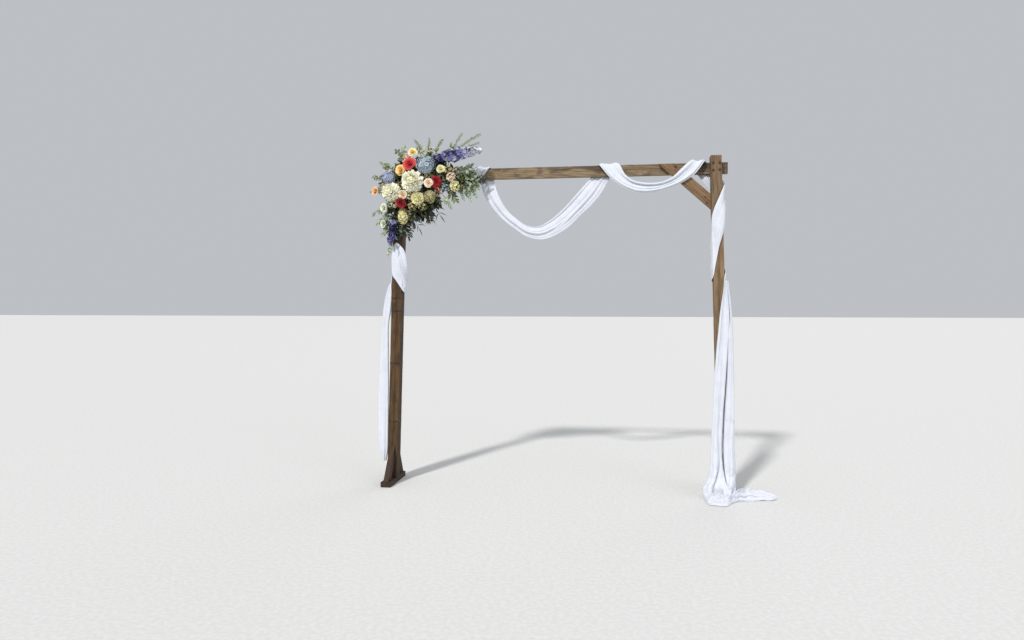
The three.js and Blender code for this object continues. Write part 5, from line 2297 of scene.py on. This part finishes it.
BEAM_SPRAYS = (
    Spray((-0.780, -0.090, 2.440), (-0.512, -0.090, 2.632), 0.02, FERN, 46, 1.1),
    Spray((-0.760, -0.090, 2.450), (-0.655, -0.090, 2.640), 0.01, FERN, 36),
    Spray((-0.700, -0.090, 2.460), (-0.530, -0.090, 2.566), 0.02, FERN, 30),
    Spray((-0.760, -0.090, 2.400), (-0.735, -0.100, 2.545), 0.0, LEMON, 8, 0.9),
    Spray((-0.660, -0.080, 2.350), (-0.578, -0.085, 2.412), 0.01, ROUND, 12, 1.1),
    Spray((-0.680, -0.080, 2.330), (-0.592, -0.085, 2.385), 0.01, DUSTY, 10),
    Spray((-0.640, -0.080, 2.300), (-0.528, -0.085, 2.232), 0.02, ROUND, 16, 1.2),
    Spray((-0.650, -0.080, 2.280), (-0.545, -0.085, 2.180), 0.02, DUSTY, 12, 0.9),
    Spray((-0.640, -0.080, 2.260), (-0.590, -0.085, 2.150), 0.02, ROUND, 14, 1.1),
    Spray((-0.690, -0.080, 2.250), (-0.640, -0.085, 2.150), 0.02, ROUND, 12),
    Spray((-0.640, -0.074, 2.314), (-0.488, -0.030, 2.318), 0.01, DARK, 12, 0.7),
    Spray((-0.620, -0.072, 2.290), (-0.504, -0.026, 2.292), 0.01, DARK, 10, 0.7),
    Spray((-0.760, -0.080, 2.220), (-0.700, -0.080, 2.150), 0.0, LEMON, 6, 0.9),
    Spray((-0.800, -0.090, 2.190), (-0.740, -0.090, 2.100), 0.0, DUSTY, 8, 0.8),
)
POST_LUMPS = (
    LeafMass((-1.110, -0.070, 2.070), (0.120, 0.055, 0.105), 300, DEEP_LEAVES),
    LeafMass((-1.165, -0.066, 1.965), (0.070, 0.040, 0.080), 150, (DARK, DUSTY)),
)
POST_SPRAYS = (
    Spray((-1.190, -0.090, 2.090), (-1.330, -0.090, 2.060), 0.02, DUSTY, 10),
    Spray((-1.190, -0.090, 2.040), (-1.300, -0.090, 1.990), 0.01, DUSTY, 9),
    Spray((-1.190, -0.090, 1.990), (-1.270, -0.090, 1.900), 0.01, DUSTY, 8, 0.9),
    Spray((-1.190, -0.085, 1.920), (-1.232, -0.075, 1.740), 0.0, ROUND, 14),
    Spray((-1.050, -0.090, 2.050), (-0.985, -0.090, 1.945), 0.0, BLADE, 2, 0.9),
    Spray((-1.030, -0.072, 1.990), (-1.062, -0.072, 1.880), 0.0, DARK, 6, 0.7),
    Spray((-1.110, -0.080, 1.990), (-1.075, -0.078, 1.890), 0.0, DARK, 8, 0.8),
)
GREENERY = (
    Greenery("leaves_corner", "greenery_corner", CORNER_LUMPS, CORNER_SPRAYS),
    Greenery("leaves_beam", "greenery_beam", BEAM_LUMPS, BEAM_SPRAYS),
    Greenery("leaves_post", "greenery_post", POST_LUMPS, POST_SPRAYS),
)


@dataclass
class Arrangement:
    """The flowers and leaves on the left upper corner."""

    settings: tuple[Setting, ...] = BLOOMS
    tufts: tuple[Tuft, ...] = TUFTS
    greenery: tuple[Greenery, ...] = GREENERY

    def build(self) -> None:
        """Builds the blooms, the tufts between them, the two delphiniums and the leaves."""
        petals = dress(PETALS)
        for k, setting in enumerate(self.settings):
            shape = Shape()
            setting.flower.add_to(shape, Stand(setting.place, setting.facing, 0.7 * k), 100 + k)
            piece = shape.make(setting.name, petals)
            nodes = (setting.node,) if setting.node else ()
            hand_in(piece, setting.slot, *nodes)
        shape = Shape()
        for k, tuft in enumerate(self.tufts):
            cluster = Stock(tuft.radius, tuft.stretch, tuft.base, tuft.tips, tuft.rosettes)
            cluster.add_to(shape, Stand(tuft.place, tuft.facing, 0.9 * k), 200 + k)
        hand_in(shape.make("filler_blossoms", petals), "petal_cream")
        self.build_delphiniums(petals)
        self.build_leaves()

    def build_delphiniums(self, petals: Material) -> None:
        """Builds the long spike along the beam and the short one down the post.

        Args:
            petals: The finish.
        """
        indigo, violet, lavender = srgb(44, 36, 122), srgb(78, 74, 164), srgb(128, 128, 194)
        lilac, pale = srgb(176, 180, 216), srgb(224, 227, 240)
        spikes = (
            ("delphinium_long", "delphinium_beam", Delphinium(
                (-0.846, -0.150, 2.455), (-0.506, -0.130, 2.508),
                (0.026, 0.034, 0.054, 0.054, 0.040, 0.026),
                (indigo, violet, lavender, lavender, lilac, pale, pale),
                srgb(246, 246, 252), 180, (0.0165, 0.0125),
            )),
            ("delphinium_short", "delphinium_post", Delphinium(
                (-1.168, -0.118, 2.000), (-1.206, -0.110, 1.836), (0.030, 0.034, 0.024),
                (violet, indigo, violet, lavender), srgb(216, 216, 240), 56, (0.0145, 0.0105),
            )),
        )
        for k, (name, node, spike) in enumerate(spikes):
            shape = Shape()
            spike.add_to(shape, 300 + k)
            hand_in(shape.make(name, petals), "petal_violet", node)

    def build_leaves(self) -> None:
        """Builds the three masses of leaves with their sprays."""
        green = dress(LEAVES)
        for k, mass in enumerate(self.greenery):
            shape = Shape()
            for m, lump in enumerate(mass.lumps):
                lump.add_to(shape, 400 + 20 * k + m)
            for m, spray in enumerate(mass.sprays):
                spray.add_to(shape, 500 + 20 * k + m)
            hand_in(shape.make(mass.name, green), "greenery", mass.node)


# Studio


@dataclass
class Studio:
    """The camera at the photograph's angle, soft lights and a plain pale floor."""

    camera_place: Vec = (0.5205, -5.506, 1.3887)
    tilt_down: float = math.radians(1.39)
    turn_left: float = math.radians(8.38)
    lens: float = 25.98
    lights_aim: Vec = (0.0, 0.0, 1.2)

    def build(self) -> None:
        """Sets the camera, lights, world and floor."""
        scene = bpy.context.scene
        data = bpy.data.cameras.new("photo_camera")
        data.lens = self.lens
        data.sensor_width = 36.0
        data.clip_end = 120.0
        camera = bpy.data.objects.new("photo_camera", data)
        camera.location = ORIGIN + Vector(self.camera_place)
        camera.rotation_euler = (math.radians(90) - self.tilt_down, 0.0, self.turn_left)
        scene.collection.objects.link(camera)
        scene.camera = camera
        scene.view_settings.view_transform = "Standard"
        self.light("key", (-3.4, -8.8, 9.4), 2.9, math.radians(5), (1.0, 0.98, 0.95))
        self.light("fill", (5.5, -5.0, 3.4), 0.55, math.radians(40), (0.94, 0.97, 1.0))
        self.light("back", (2.0, 6.0, 5.0), 0.5, math.radians(40), (0.97, 0.98, 1.0))
        world = bpy.data.worlds.new("soft_sky")
        world.use_nodes = True
        sky = world.node_tree.nodes["Background"]
        sky.inputs["Color"].default_value = (0.92, 0.95, 1.0, 1.0)
        sky.inputs["Strength"].default_value = 0.55
        scene.world = world
        self.floor()

    def light(self, name: str, place: Vec, strength: float, spread: float, colour: Colour) -> None:
        """Adds one far, soft lamp that shines on the arch's middle.

        Args:
            name: The lamp's name.
            place: Where it shines from.
            strength: Its strength.
            spread: How wide it looks, which softens its shadows.
            colour: Its colour.
        """
        data = bpy.data.lights.new(name, "SUN")
        data.energy = strength
        data.angle = spread
        data.color = colour
        lamp = bpy.data.objects.new(name, data)
        lamp.location = ORIGIN + Vector(place)
        shining = Vector(self.lights_aim) - Vector(place)
        lamp.rotation_euler = shining.to_track_quat("-Z", "Y").to_euler()
        bpy.context.scene.collection.objects.link(lamp)

    def floor(self) -> None:
        """Adds a wide pale floor with a faint tooth to its surface."""
        mix = Recipe("pale_floor")
        grit = mix.noise(mix.place(), 40.0, 4.0)
        mix.surface(
            Base_Color=mix.blend(mix.step(grit, 0.35, 0.7), srgb(206, 206, 204), srgb(214, 214, 212)),
            Roughness=0.9,
            Normal=mix.bump(grit, 0.001, 0.2),
        )
        shape = Shape()
        side = np.linspace(-40, 40, 9)
        x, y = np.meshgrid(1.5 * side - 14, side + 25, indexing="ij")
        shape.sheet(np.stack([x, y, np.full_like(x, -0.0004)], axis=-1))
        floor = shape.make("floor", mix.material)


def main() -> None:
    """Builds the arch's parts in order."""
    logging.basicConfig(level=logging.INFO, format="%(name)s: %(message)s")
    Studio().build()
    TimberFrame().build()
    Fixings().build()
    PostTies().build()
    LongDrape().build()
    LeftPostDrape().build()
    GroundPool().build()
    Arrangement().build()


if __name__ == "__main__":
    main()
